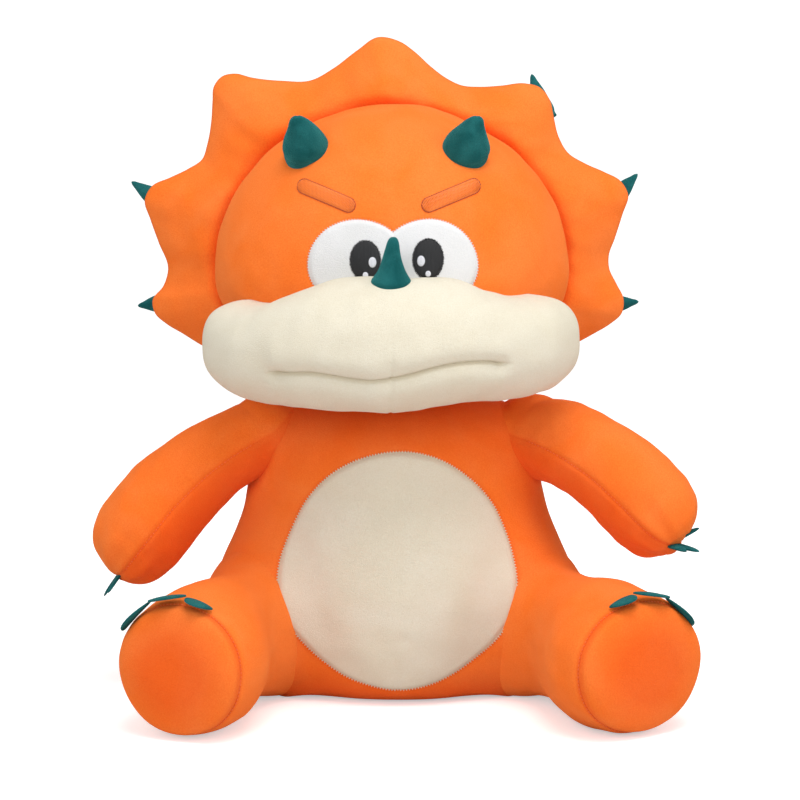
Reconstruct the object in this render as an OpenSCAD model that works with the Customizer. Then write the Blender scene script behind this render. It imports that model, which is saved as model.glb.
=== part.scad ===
// Stuffed horned dinosaur that sits on a flat seat, in millimetres.
// +Z is up, the face looks along -Y, and +X is the toy's own left side.
// The origin is the centre of the flat seat under the body.

/* [Body] */
// Width of the body at the hips
body_w = 300; // [260:5:340]
// Depth of the body, front to back
body_d = 236; // [210:2:270]
// Height of the body, from the seat to the neck opening
body_h = 272; // [268:1:290]
// Diameter of the cream belly patch
belly_d = 214; // [150:2:216]
// Height of the belly patch's centre above the seat
belly_z = 124; // [120:1:140]

/* [Head] */
// Width of the head
head_w = 324; // [300:2:340]
// Depth of the head, front to back
head_d = 260; // [240:2:280]
// Height of the crown above the widest level of the head
crown_h = 151; // [130:1:170]
// Depth of the chin below the widest level of the head
chin_h = 100; // [95:1:110]
// Height of the head's widest level above the seat
head_z = 385; // [380:1:400]
// Sideways lean of the head
head_lean = -5; // [-8:1:8]
// Width of the muzzle over both cheeks
muzzle_w = 340; // [320:2:350]
// Height of the muzzle at the snout
muzzle_h = 116; // [100:1:118]
// How far the snout stands in front of the head's centre
snout_y = 205; // [190:1:220]

/* [Frill] */
// Half the span of the frill, from the head's centre to a middle point
frill_r = 230; // [215:1:240]
// Height of the frill's top point above the head's widest level
frill_top = 211; // [195:1:220]
// Thickness of the frill's padding beside the head
frill_t = 26; // [16:1:32]
// Length of a frill spike
spike_l = 38; // [24:1:44]
// Diameter of a frill spike at its root
spike_d = 24; // [16:1:28]

/* [Horns] */
// Diameter of a brow horn at its root
horn_d = 42; // [34:1:50]
// Length of a brow horn
horn_l = 58; // [45:1:70]
// Diameter of the nose horn at its root
nose_horn_d = 40; // [32:1:46]
// Length of the nose horn
nose_horn_l = 46; // [36:1:56]

/* [Arms] */
// Diameter of the arm at the shoulder seam
shoulder_d = 68; // [56:1:70]
// Diameter of the hand
hand_d = 86; // [70:1:88]
// Length from the shoulder to the middle of the hand
arm_l = 142; // [135:1:170]
// Right arm's angle below the horizontal
arm_drop_r = 41; // [36:1:44]
// Left arm's angle below the horizontal
arm_drop_l = 30; // [26:1:42]
// Right arm's angle forwards
arm_fore_r = 15; // [10:1:25]
// Left arm's angle forwards
arm_fore_l = 33; // [20:1:38]

/* [Legs] */
// Diameter of the thigh at the hip seam
thigh_d = 120; // [110:1:124]
// Diameter of the foot
foot_d = 126; // [112:1:130]
// Length from the hip to the sole's seam
leg_l = 172; // [150:1:190]
// Right leg's angle outwards
leg_splay_r = 21; // [12:1:28]
// Left leg's angle outwards
leg_splay_l = 28; // [12:1:32]

/* [Tail] */
// Diameter of the tail at its root
tail_d = 84; // [70:1:90]
// Length of the tail behind its root
tail_l = 145; // [110:1:170]

/* [Cloth] */
// Thickness of the plush cloth
cloth = 2; // [1.6:0.1:2.4]
// Thickness of the felt-like claw cloth
claw_t = 3; // [2:0.5:4]
// Thickness of embroidery
embroidery = 1.2; // [0.8:0.1:1.6]
// Gap between a limb's root and its hollow in the body
root_gap = 0.8; // [0.4:0.1:1]

/* [Hidden] */

// Colours of the cloths
orange_plush = [1.0, 0.42, 0.1];
cream_plush = [0.94, 0.91, 0.82];
white_plush = [0.95, 0.95, 0.95];
teal_velour = [0.07, 0.42, 0.42];
black_thread = [0.06, 0.06, 0.08];
gold_thread = [0.93, 0.58, 0.12];
white_fibre = [0.9, 0.9, 0.88];

// A gap that keeps two flat-sided round shapes apart where they lie on each other
skin_gap = 0.3;
// The belly patch stands this far off the cloth that it is sewn to
patch_lift = 1.6;
// Sides of a body ring, a limb ring and a small ring
body_sides = 36;
limb_sides = 20;
small_sides = 16;

// Body: [height share, radius share] down its outline, and its depth against its width
body_outline = [
    [0, 0.62], [0.04, 0.79], [0.1, 0.89], [0.2, 0.965], [0.34, 1], [0.48, 0.985],
    [0.61, 0.94], [0.74, 0.875], [0.86, 0.8], [0.93, 0.7], [0.98, 0.54], [1, 0.38]
];
body_depth = body_d / body_w;

// Roots of the limbs: the middle of each one's ball and its radius
neck_r = 50;
neck_at = [0, 0, body_h + 10];
shoulder_x = body_w / 2 - 28;
shoulder_z = body_h - 32;
shoulder_y = -20;
thigh_r = thigh_d / 2;
hip_x = body_w / 2 - 32;
hip_at_y = -45;
foot_r = foot_d / 2;
hip_z = max(thigh_r, foot_r) ;
tail_r = tail_d / 2;
tail_at = [0, body_d / 2 - 30, tail_r + 10];

// Head: half axes and centre
head_a = head_w / 2;
head_b = head_d / 2;
head_at = [head_lean, 0, head_z];
// The seam that holds the frill lies this far behind the head's middle
frill_seam_y = 28;

// Muzzle: the arc that its middle follows
muzzle_end_r = 46;
muzzle_mid_r = muzzle_h / 2;
muzzle_z = head_z - 47;
muzzle_arc = [muzzle_w / 2 - muzzle_end_r, snout_y - 107];
muzzle_arc_y = -45;
muzzle_turn = 86;

// ---------- functions that shape rings and grids ----------

function lerp(a, b, t) = a + (b - a) * t;
function unit(v) = v / norm(v);

// Half width of the body at height z, grown by o
function body_r(z, o) = lookup(z / body_h, body_outline) * body_w / 2 + o;
// The body's outline as [radius, height] points, grown by o
function body_profile(o) = [
    for (k = [0:len(body_outline) - 1])
        let (rise = k == 0 ? -o : k == len(body_outline) - 1 ? o : 0)
        [body_outline[k][1] * body_w / 2 + o, body_outline[k][0] * body_h + rise]
];
// The body's front face at x and height z, grown by o
function body_front(x, z, o) = -body_depth * sqrt(pow(body_r(z, o), 2) - x * x);
body_face = function(x, z, o) body_front(x, z, o);

// Half height of the head on the upper or the lower side
function head_c(s) = s >= 0 ? crown_h : chin_h;
// A ring of the head around the Y axis, at angle f from its middle, grown by o
function head_ring(f, o) = [
    for (i = [0:body_sides - 1])
        let (a = 360 * i / body_sides)
        head_at + [
            (head_a + o) * cos(f) * cos(a),
            (head_b + o) * sin(f),
            (head_c(sin(a)) + o) * cos(f) * sin(a)
        ]
];
// The head's front face at x and height z, grown by o
function head_front(x, z, o) =
    let (u = (x - head_at.x) / (head_a + o), v = (z - head_at.z) / (head_c(z - head_at.z) + o))
    -(head_b + o) * sqrt(1 - u * u - v * v);

// A frame across a path: its sideways and upward directions where the path runs along d
function across(d) = unit(cross(d, [0, 0, 1]));
function upward(d) = cross(across(d), d);
// A ring round point c across direction d, with half width a and half height b
function ring(c, d, a, b, n) = [
    for (i = [0:n - 1])
        let (t = 360 * i / n)
        c + across(d) * a * cos(t) + upward(d) * b * sin(t)
];
// Part of that ring, from angle t0 to t1
function part_ring(c, d, a, b, t0, t1, n) = [
    for (i = [0:n])
        let (t = lerp(t0, t1, i / n))
        c + across(d) * a * cos(t) + upward(d) * b * sin(t)
];

// ---------- modules that turn rings and grids into solids ----------

// A closed solid through rings, with a flat end on the first and the last
module solid_of_rings(rings) {
    n = len(rings[0]);
    m = len(rings);
    points = [for (r = rings) each r];
    sides = [
        for (j = [0:m - 2], i = [0:n - 1])
            let (p = j * n + i, q = j * n + (i + 1) % n)
            each [[p, q, q + n], [p, q + n, p + n]]
    ];
    ends = [[for (i = [n - 1:-1:0]) i], [for (i = [0:n - 1]) (m - 1) * n + i]];
    polyhedron(points, concat(sides, ends));
}

// A sheet of cloth between an outer and an inner grid of points, closed along its four edges
module sheet(outer, inner) {
    m = len(outer);
    n = len(outer[0]);
    k = m * n;
    points = concat([for (r = outer) each r], [for (r = inner) each r]);
    top = [
        for (j = [0:m - 2], i = [0:n - 2])
            let (p = j * n + i)
            each [[p, p + 1, p + n + 1], [p, p + n + 1, p + n]]
    ];
    under = [for (f = top) [f[2] + k, f[1] + k, f[0] + k]];
    edge = concat(
        [for (i = [0:n - 2]) i],
        [for (j = [0:m - 2]) j * n + n - 1],
        [for (i = [n - 1:-1:1]) (m - 1) * n + i],
        [for (j = [m - 1:-1:1]) j * n]
    );
    rim = [
        for (e = [0:len(edge) - 1])
            let (a = edge[e], b = edge[(e + 1) % len(edge)])
            each [[b, a, a + k], [b, a + k, b + k]]
    ];
    polyhedron(points, concat(top, under, rim));
}

// A flat shape laid on a curved front: shape is its outline of [x, z] points about centre c,
// lies_on(x, z, o) gives the face it lies on, and it fills that from lift to lift + thick
module applique(shape, c, lies_on, lift, thick, shares) {
    function lay(s, o) = [for (p = shape) let (q = c + p * s) [q.x, lies_on(q.x, q.y, o), q.y]];
    m = len(shares);
    solid_of_rings(concat(
        [for (k = [0:m - 1]) lay(shares[k], lift + thick)],
        [for (k = [m - 1:-1:0]) lay(shares[k], lift)]
    ));
}

function ellipse_outline(a, b, n) = [for (i = [0:n - 1]) [a * cos(360 * i / n), b * sin(360 * i / n)]];
// A bar with round ends, of length l and width w, turned by angle t
function bar_outline(l, w, t, n) = [
    for (i = [0:n - 1])
        let (a = 360 * (i + 0.5) / n, x = w / 2 * cos(a) + sign(cos(a)) * (l - w) / 2, z = w / 2 * sin(a))
        [x * cos(t) - z * sin(t), x * sin(t) + z * cos(t)]
];

// ---------- body ----------

// A round shape turned from a profile, then pressed to the body's depth
module pressed() {
    scale([1, body_depth, 1]) children();
}

// The hollow for a ball root, opening outwards along +Z by the given spread over its reach
module root_hollow(r, reach, spread) {
    wall = (r + root_gap) / cos(7.5);
    rotate_extrude($fn = 64) polygon(concat(
        [for (a = [-90:15:0]) [a == -90 ? 0 : wall * cos(a), wall * sin(a)]],
        [[wall + spread, reach], [0, reach]]
    ));
}

// The hollow for a thigh, open forwards and downwards
module hip_hollow(s) {
    splay = s > 0 ? leg_splay_l : leg_splay_r;
    translate([s * hip_x, hip_at_y, hip_z]) {
        rotate([90, 0, s * (splay - 2)]) root_hollow(thigh_r, 90, 14);
        translate([0, 0, -hip_z - cloth]) cylinder(h = hip_z / 2, r = thigh_r - 1.5, $fn = 64);
    }
}

// The hollow for an arm's root, open along the arm
module shoulder_hollow(s) {
    drop = s > 0 ? arm_drop_l : arm_drop_r;
    fore = s > 0 ? arm_fore_l : arm_fore_r;
    translate([s * shoulder_x, shoulder_y, shoulder_z])
    rotate([0, 0, -s * fore]) rotate([0, s * (90 + drop - 4), 0]) root_hollow(shoulder_d / 2, 90, 14);
}

// The hollows in the body where the neck, arms, legs and tail are sewn in
module root_hollows() {
    translate(neck_at) sphere(neck_r + root_gap, $fn = 64);
    for (s = [-1, 1]) {
        shoulder_hollow(s);
        hip_hollow(s);
    }
    translate(tail_at) rotate([-90, 0, 0]) root_hollow(tail_r, 60, 32);
}

module body_fill() {
    color(white_fibre)
    difference() {
        pressed() rotate_extrude($fn = 96)
        polygon(concat([[0, cloth]], body_profile(-cloth), [[0, body_h - cloth]]));
        root_hollows();
    }
}

// One upright panel of the body between two angles
module body_panel(a0, a1) {
    inner = body_profile(-cloth);
    color(orange_plush)
    difference() {
        pressed() rotate([0, 0, a0]) rotate_extrude(angle = a1 - a0, $fn = 96)
        polygon(concat(body_profile(0), [for (k = [len(inner) - 1:-1:0]) inner[k]]));
        root_hollows();
    }
}

// The round of cloth that the toy sits on, inside the panels' lower edge
module seat_panel() {
    seat_r = body_outline[0][1] * body_w / 2 - cloth - skin_gap;
    color(orange_plush)
    difference() {
        linear_extrude(cloth)
        polygon([for (a = [0:5:355]) [seat_r * cos(a), seat_r * body_depth * sin(a)]]);
        root_hollows();
    }
}

module belly_patch() {
    color(cream_plush)
    difference() {
        applique(ellipse_outline(belly_d / 2, belly_d / 2, body_sides), [0, belly_z],
                 body_face, patch_lift, cloth, [0.02, 0.3, 0.55, 0.75, 0.9, 1]);
        for (s = [-1, 1]) hip_hollow(s);
    }
}

module care_label() {
    label = [28, 1, 40];
    label_at = [-body_w * 0.24, body_d * 0.44, body_h * 0.3];
    color(white_plush)
    translate(label_at) rotate([-8, 0, 25]) translate([0, label.y + cloth + 4, 0]) cube(label, center = true);
}

// ---------- neck and head ----------

module neck_fill() {
    color(orange_plush) translate(neck_at) sphere(neck_r);
}

head_steps = [-88, -78, -66, -54, -42, -30, -18, -6, asin(frill_seam_y / head_b)];
back_steps = [asin(frill_seam_y / head_b), 26, 40, 54, 68, 80, 88];

module neck_hollow() {
    translate(neck_at) sphere(neck_r + root_gap);
}

module head_fill() {
    color(white_fibre)
    difference() {
        solid_of_rings([for (f = concat(head_steps, [for (k = [1:6]) back_steps[k]])) head_ring(f, -cloth)]);
        neck_hollow();
    }
}

// A cup of cloth over the head between the given angles
module head_cup(steps) {
    m = len(steps);
    color(orange_plush)
    difference() {
        solid_of_rings(concat(
            [for (k = [0:m - 1]) head_ring(steps[k], 0)],
            [for (k = [m - 1:-1:0]) head_ring(steps[k], -cloth)]
        ));
        neck_hollow();
    }
}

module face_panel() { head_cup(head_steps); }
module head_back_panel() { head_cup([for (k = [6:-1:0]) back_steps[k]]); }

// Solid head, grown a little, that cuts what is sewn on to it
module head_cutter() {
    solid_of_rings([for (f = concat(head_steps, [for (k = [1:6]) back_steps[k]])) head_ring(f, skin_gap)]);
}

head_face = function(x, z, o) head_front(x, z, o);
eye_r = 47;
eye_lift = 0.8;
brow_lift = 1.7;
eye_x = 31;
eye_z = head_z + 12;
pupil = [14, 19.5];
pupil_x = 26;
pupil_z = head_z + 21;

module eye_patch() {
    outline = [
        for (i = [0:body_sides - 1])
            let (a = 360 * i / body_sides, r = eye_x * abs(cos(a)) + sqrt(eye_r * eye_r - pow(eye_x * sin(a), 2)))
            [r * cos(a), r * sin(a) * (sin(a) < 0 ? 0.4 : 1)]
    ];
    color(white_plush)
    difference() {
        applique(outline, [head_at.x, eye_z], head_face, eye_lift, cloth / 2, [0.02, 0.35, 0.7, 1]);
        muzzle_solid(skin_gap);
    }
}

module pupil(side) {
    color(black_thread)
    difference() {
        applique(ellipse_outline(pupil.x, pupil.y, small_sides), [head_at.x + side * pupil_x, pupil_z], head_face,
                 eye_lift + skin_gap + cloth / 2, embroidery, [0.05, 0.5, 1]);
        muzzle_solid(skin_gap);
    }
}

module eye_highlights() {
    lift = eye_lift + skin_gap * 2 + cloth / 2 + embroidery;
    color(white_plush)
    difference() {
        for (s = [-1, 1]) {
            applique(ellipse_outline(3.8, 4.8, small_sides), [head_at.x + s * (pupil_x - 6.5), pupil_z + 0.5],
                     head_face, lift, embroidery / 2, [0.1, 1]);
            applique(ellipse_outline(2.6, 2.6, small_sides), [head_at.x + s * (pupil_x - 0.5), pupil_z - 11],
                     head_face, lift, embroidery / 2, [0.1, 1]);
        }
        muzzle_solid(skin_gap);
    }
}

module brow(side) {
    brow_size = [54, 11.5];
    brow_at = [50, 76];
    color(gold_thread)
    applique(bar_outline(brow_size.x, brow_size.y, side * 21, 24), [head_at.x + side * brow_at.x, head_z + brow_at.y],
             head_face, brow_lift, embroidery, [0.05, 0.5, 1]);
}

// ---------- muzzle ----------

// Rings of the muzzle from cheek to cheek, grown by o; h0 and h1 cut out the upper or the lower part
function muzzle_shares() = [-1, -0.97, -0.9, -0.78, -0.6, -0.4, -0.2, 0, 0.2, 0.4, 0.6, 0.78, 0.9, 0.97, 1];
function muzzle_at(s) =
    let (a = s * muzzle_turn)
    [head_at.x + muzzle_arc.x * sin(a), muzzle_arc_y - muzzle_arc.y * cos(a), muzzle_z + (1 - cos(a)) * -9];
function muzzle_along(s) = let (a = s * muzzle_turn) unit([muzzle_arc.x * cos(a), muzzle_arc.y * sin(a), 0]);
function muzzle_round(s) = sqrt(max(0.0004, 1 - pow(abs(s), 5)));
function muzzle_r(s, o) = lerp(muzzle_mid_r, muzzle_end_r, abs(s)) * muzzle_round(s) + (abs(s) == 1 ? 0 : o);
function muzzle_grid(t0, t1, n, o) = [
    for (s = muzzle_shares())
        part_ring(muzzle_at(s) + muzzle_along(s) * sign(s) * (abs(s) == 1 ? o : 0), muzzle_along(s),
                  muzzle_r(s, o) * 1.06, muzzle_r(s, o), t0, t1, n)
];

module muzzle_solid(o) {
    solid_of_rings([
        for (s = muzzle_shares())
            ring(muzzle_at(s) + muzzle_along(s) * sign(s) * (abs(s) == 1 ? o : 0), muzzle_along(s),
                 muzzle_r(s, o) * 1.06, muzzle_r(s, o), limb_sides)
    ]);
}

module muzzle_fill() {
    color(white_fibre)
    difference() {
        muzzle_solid(-cloth);
        head_cutter();
    }
}

// Half of the muzzle's cover, above or below the mouth
module muzzle_panel(t0, t1) {
    color(cream_plush)
    difference() {
        sheet(muzzle_grid(t0, t1, limb_sides / 2, 0), muzzle_grid(t0, t1, limb_sides / 2, -cloth));
        head_cutter();
    }
}

// ---------- horns ----------

// A stuffed cone with a round tip, along +Z, that starts below z = 0
module horn(d, l, sunk, tip_r) {
    color(teal_velour)
    rotate_extrude($fn = 48) polygon(concat(
        [[0, -sunk], [d / 2, -sunk]],
        [for (k = [0:8]) let (t = k / 8) [lerp(d / 2, tip_r, pow(t, 1.25)), t * (l - tip_r)]],
        [for (a = [15:15:75]) [tip_r * cos(a), l - tip_r + tip_r * sin(a)]],
        [[0, l]]
    ));
}

module brow_horn(side) {
    z = head_z + 107;
    x = side * 71;
    base = [head_at.x + x, head_front(head_at.x + x, z, 0), z];
    difference() {
        translate(base) rotate([20, side * 7, 0]) horn(horn_d, horn_l, 24, 6);
        head_cutter();
    }
}

module nose_horn() {
    base = [head_at.x, muzzle_arc_y - muzzle_arc.y - 14, muzzle_z + muzzle_mid_r - 4];
    difference() {
        translate(base) rotate([10, 0, 0]) horn(nose_horn_d, nose_horn_l, 12, 5.5);
        muzzle_solid(skin_gap);
        head_cutter();
    }
}

// ---------- frill ----------

// The frill's edge from below the left cheek to below the right, [x, z] from the head's centre:
// points and the hollows between them take turns
frill_edge = [
    [0.70, -0.345], [0.84, -0.245], [0.965, -0.2], [1.0, -0.13], [0.95, -0.06],
    [0.91, 0.01], [0.95, 0.14], [1.0, 0.27], [0.97, 0.34],
    [0.83, 0.41], [0.735, 0.46], [0.715, 0.55], [0.70, 0.68], [0.68, 0.765], [0.60, 0.79],
    [0.45, 0.77], [0.31, 0.785], [0.18, 0.88], [0.08, 0.965]
];
frill_mid = [[0, 1]];
function frill_scale(p) = [p.x * frill_r, p.y > 0.75 ? p.y * frill_top * 0.975 : p.y * frill_r * 1.02];
frill_line = [
    for (p = frill_edge) frill_scale(p),
    [0, frill_top],
    for (k = [len(frill_edge) - 1:-1:0]) let (p = frill_scale(frill_edge[k])) [-p.x, p.y]
];
frill_shares = [0, 0.2, 0.45, 0.7, 0.9, 1];
frill_back_y = 26;

// Grid of the frill: off is how far its face stands from the middle sheet, beside the head
function frill_point(p, s, side, o) =
    let (f = asin(frill_seam_y / head_b), a = atan2(p.y, p.x))
    let (ring_r = cos(f) / sqrt(pow(cos(a) / (head_a + 1), 2) + pow(sin(a) / (head_c(sin(a)) + 1), 2)))
    let (inner = [ring_r * cos(a), ring_r * sin(a)], q = lerp(inner, p, s))
    let (half = (frill_t / 2) * sqrt(max(0, 1 - pow(s, 2.2))) * min(1, 0.55 + 2.2 * s) + 0.6)
    head_at + [q.x, frill_seam_y + frill_back_y * s + side * (half + o) + (1 - s) * 6, q.y];
function frill_grid(side, o) = [
    for (s = frill_shares) [for (p = frill_line) frill_point(p, s, side, o)]
];

module frill_cloth(side) {
    color(orange_plush)
    difference() {
        if (side < 0) sheet(frill_grid(-1, cloth / 2), frill_grid(-1, 0));
        else sheet(frill_grid(1, 0), frill_grid(1, cloth / 2));
        head_cutter();
    }
}

module frill_padding() {
    color(white_fibre)
    difference() {
        sheet(frill_grid(-1, -skin_gap / 2), frill_grid(1, -skin_gap / 2));
        head_cutter();
    }
}

// A spike sewn to the back of the frill at outline point k, leaning back by angle lean
module frill_spike(k, lean, reach) {
    p = frill_line[k];
    a = atan2(p.y, p.x);
    root = head_at + [p.x - reach * cos(a), frill_seam_y + frill_back_y + 4.5 + spike_d / 2, p.y - reach * sin(a)];
    translate(root)
    rotate([0, -a, 0]) rotate([0, 90, 0]) rotate([-lean, 0, 0])
    horn(spike_d, spike_l, 0.01, 3);
}

// ---------- arms ----------

// [share of the arm's length, blend from shoulder to hand radius, roundness] along the arm
arm_rows = [
    [-0.222, 0, 0.08], [-0.2, 0, 0.44], [-0.15, 0, 0.75], [-0.08, 0, 0.935], [0, 0, 1], [0.14, 0.05, 1], [0.3, 0.3, 1],
    [0.5, 0.75, 1], [0.7, 0.97, 1], [0.88, 1, 1], [1.02, 1, 0.95], [1.14, 1, 0.8], [1.22, 1, 0.58], [1.265, 1, 0.3],
    [1.275, 1, 0.05]
];
arm_bow = 10;
function arm_centre(s) = [s * arm_l, 0, s < 0 ? s * arm_bow * 4 : arm_bow * 4 * s * (1 - s)];
function arm_along(s) = unit([arm_l, 0, s < 0 ? arm_bow * 4 : arm_bow * 4 * (1 - 2 * s)]);
function arm_r(row, o) = (lerp(shoulder_d, hand_d, row[1]) / 2 + o) * row[2];
function arm_shift(k, o) = k == 0 ? -o : k == len(arm_rows) - 1 ? o : 0;
function arm_c(k, o) = arm_centre(arm_rows[k][0]) + arm_along(arm_rows[k][0]) * arm_shift(k, o);
function arm_grid(t0, t1, n, o) = [
    for (k = [0:len(arm_rows) - 1])
        part_ring(arm_c(k, o), arm_along(arm_rows[k][0]), arm_r(arm_rows[k], o), arm_r(arm_rows[k], o), t0, t1, n)
];

// Puts an arm, made along +X, on its shoulder
module at_shoulder(side, drop, fore) {
    translate([side * shoulder_x, shoulder_y, shoulder_z])
    mirror([side < 0 ? 1 : 0, 0, 0]) rotate([0, 0, -fore]) rotate([0, drop, 0]) children();
}
module arm_fill() {
    color(white_fibre)
    solid_of_rings([
        for (k = [0:len(arm_rows) - 1])
            ring(arm_c(k, -cloth), arm_along(arm_rows[k][0]), arm_r(arm_rows[k], -cloth), arm_r(arm_rows[k], -cloth),
                 small_sides)
    ]);
}
// Upper or lower half of the arm's cover
module arm_panel(t0) {
    color(orange_plush)
    sheet(arm_grid(t0, t0 + 180, small_sides / 2, 0), arm_grid(t0, t0 + 180, small_sides / 2, -cloth));
}

// A claw of doubled cloth: flat on XZ, its root along X and its point along +Z
module claw(w, l) {
    color(teal_velour)
    rotate([90, 0, 0]) linear_extrude(claw_t, center = true)
    polygon(concat([[-w / 2, 0], [w / 2, 0]], [for (a = [15:15:165]) [w / 2 * cos(a), l * pow(sin(a), 0.9)]]));
}

// Three claws in a fan at the hand's tip
module hand_claws() {
    tip = arm_centre(1.275) + arm_along(1.275) * (claw_t / 2);
    fan = 34;
    for (t = [-1, 0, 1])
        translate(tip) rotate([0, 18, 0]) rotate([0, 0, t * fan]) translate([4 + abs(t) * 3, 0, 0])
        rotate([0, 90, 0]) rotate([0, 0, 90]) claw(16, 24);
}

// ---------- legs ----------

// [distance along the leg, radius blend or share]: from the hip ball to the sole's seam
waist_r = thigh_r * 0.9;
leg_rows = [
    [-thigh_r, 0.06 * thigh_r], [-thigh_r * 0.95, thigh_r * 0.31], [-thigh_r * 0.78, thigh_r * 0.62],
    [-thigh_r * 0.5, thigh_r * 0.865], [-thigh_r * 0.2, thigh_r * 0.98], [0, thigh_r], [thigh_r * 0.3, thigh_r * 0.95],
    [thigh_r * 0.5, thigh_r * 0.865 + 1], [thigh_r * 0.8, lerp(waist_r, foot_r, 0.5)], [leg_l * 0.55, foot_r],
    [leg_l * 0.8, foot_r], [leg_l, foot_r - 3]
];
sole_dome = 14;
function leg_profile(o) = [
    for (k = [0:len(leg_rows) - 1])
        [leg_rows[k][1] + (k == 0 ? 0 : o), leg_rows[k][0] - (k == 0 ? o : 0)]
];
// Turns a [radius, distance] profile round the leg's axis
module turned(profile) {
    rotate([0, 90, 0]) rotate_extrude($fn = 72) polygon(profile);
}

// Puts a leg, made along +X, on its hip
module at_hip(side, splay) {
    translate([side * hip_x, hip_at_y, hip_z])
    mirror([side < 0 ? 1 : 0, 0, 0]) rotate([0, 0, splay - 90]) children();
}
module leg_fill() {
    color(white_fibre) turned(concat([[0, -thigh_r + cloth]], leg_profile(-cloth), [[0, leg_l]]));
}
// The leg's tube, with its blind end at the hip
module leg_panel() {
    inner = leg_profile(-cloth);
    color(orange_plush)
    turned(concat([[0, -thigh_r]], leg_profile(0), [for (k = [len(inner) - 1:-1:0]) inner[k]], [[0, -thigh_r + cloth]]));
}
// The round of cloth that closes the foot, bulged by its stuffing
module sole() {
    edge = leg_l + skin_gap;
    color(orange_plush)
    turned(concat([[0, edge]], [
        for (f = [0:15:75]) [(foot_r - 3) * cos(f), edge + sole_dome * sin(f)]
    ], [[0, edge + sole_dome]]));
}
// A toe claw on the seam round the sole, at angle t outwards from the top
module toe(t, w) {
    rotate([-t, 0, 0]) translate([leg_l + skin_gap * 3, 0, foot_r + claw_t / 2 - 2])
    rotate([0, 90, 0]) rotate([0, 0, 90]) claw(w, 26);
}

// ---------- tail ----------

// [share of the length, radius share, height of the middle above the seat against the root's radius]
tail_rows = [
    [-1, 0.06, 0], [-0.95, 0.31, 0], [-0.78, 0.62, 0], [-0.5, 0.865, 0], [0, 1, 0], [0.1, 0.94, -0.02], [0.22, 0.85, -0.08],
    [0.4, 0.74, -0.2],
    [0.6, 0.63, -0.4], [0.8, 0.42, -0.63], [0.93, 0.24, -0.8], [0.99, 0.05, -0.86]
];
function tail_y(k, o) = (tail_rows[k][0] < 0 ? tail_rows[k][0] * tail_r : tail_rows[k][0] * tail_l)
    + (k == 0 ? -o : k == len(tail_rows) - 1 ? o : 0);
function tail_c(k, o) = tail_at + [0, tail_y(k, o), tail_rows[k][2] * tail_r];
function tail_ring_r(k, o) = max(0.6, tail_rows[k][1] * tail_r + o * sqrt(tail_rows[k][1]));
function tail_grid(t0, t1, n, o) = [
    for (k = [0:len(tail_rows) - 1])
        part_ring(tail_c(k, o), [0, 1, 0], tail_ring_r(k, o), tail_ring_r(k, o), t0, t1, n)
];
module tail_fill() {
    color(white_fibre)
    solid_of_rings([
        for (k = [0:len(tail_rows) - 1])
            ring(tail_c(k, -cloth), [0, 1, 0], tail_ring_r(k, -cloth), tail_ring_r(k, -cloth), small_sides)
    ]);
}
module tail_panel(t0) {
    color(orange_plush)
    sheet(tail_grid(t0, t0 + 180, small_sides / 2, 0), tail_grid(t0, t0 + 180, small_sides / 2, -cloth));
}

// ---------- the parts ----------

body_fill();
body_panel(180, 360);  // front_panel
body_panel(0, 90);  // back_panel_left
body_panel(90, 180);  // back_panel_right
seat_panel();
belly_patch();
care_label();
neck_fill();
head_fill();
face_panel();
head_back_panel();
eye_patch();
pupil(1);  // pupil_left
pupil(-1);  // pupil_right
eye_highlights();
brow(1);  // brow_left
brow(-1);  // brow_right
muzzle_fill();
muzzle_panel(0, 180);  // muzzle_upper_panel
muzzle_panel(180, 360);  // muzzle_lower_panel
nose_horn();
brow_horn(1);  // brow_horn_left
brow_horn(-1);  // brow_horn_right
frill_padding();
frill_cloth(-1);  // frill_front_panel
frill_cloth(1);  // frill_back_panel
frill_spike(19, 50, 22);  // spike_top
frill_spike(13, 30, 14);  // spike_upper_left
frill_spike(25, 50, 22);  // spike_upper_right
frill_spike(7, 10, 12);  // spike_middle_left
frill_spike(31, 10, 12);  // spike_middle_right
frill_spike(3, 10, 12);  // spike_lower_left
frill_spike(35, 10, 12);  // spike_lower_right
at_shoulder(1, arm_drop_l, arm_fore_l) arm_fill();  // arm_fill_left
at_shoulder(1, arm_drop_l, arm_fore_l) arm_panel(0);  // arm_upper_panel_left
at_shoulder(1, arm_drop_l, arm_fore_l) arm_panel(180);  // arm_lower_panel_left
at_shoulder(1, arm_drop_l, arm_fore_l) hand_claws();  // hand_claws_left
at_shoulder(-1, arm_drop_r, arm_fore_r) arm_fill();  // arm_fill_right
at_shoulder(-1, arm_drop_r, arm_fore_r) arm_panel(0);  // arm_upper_panel_right
at_shoulder(-1, arm_drop_r, arm_fore_r) arm_panel(180);  // arm_lower_panel_right
at_shoulder(-1, arm_drop_r, arm_fore_r) hand_claws();  // hand_claws_right
at_hip(1, leg_splay_l) leg_fill();  // leg_fill_left
at_hip(1, leg_splay_l) leg_panel();  // leg_panel_left
at_hip(1, leg_splay_l) sole();  // sole_left
at_hip(1, leg_splay_l) toe(-22, 32);  // toe_inner_left
at_hip(1, leg_splay_l) toe(12, 36);  // toe_middle_left
at_hip(1, leg_splay_l) toe(46, 34);  // toe_outer_left
at_hip(-1, leg_splay_r) leg_fill();  // leg_fill_right
at_hip(-1, leg_splay_r) leg_panel();  // leg_panel_right
at_hip(-1, leg_splay_r) sole();  // sole_right
at_hip(-1, leg_splay_r) toe(-22, 32);  // toe_inner_right
at_hip(-1, leg_splay_r) toe(12, 36);  // toe_middle_right
at_hip(-1, leg_splay_r) toe(46, 34);  // toe_outer_right
tail_fill();
tail_panel(-90);  // tail_panel_left
tail_panel(90);  // tail_panel_right
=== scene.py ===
import math

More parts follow.
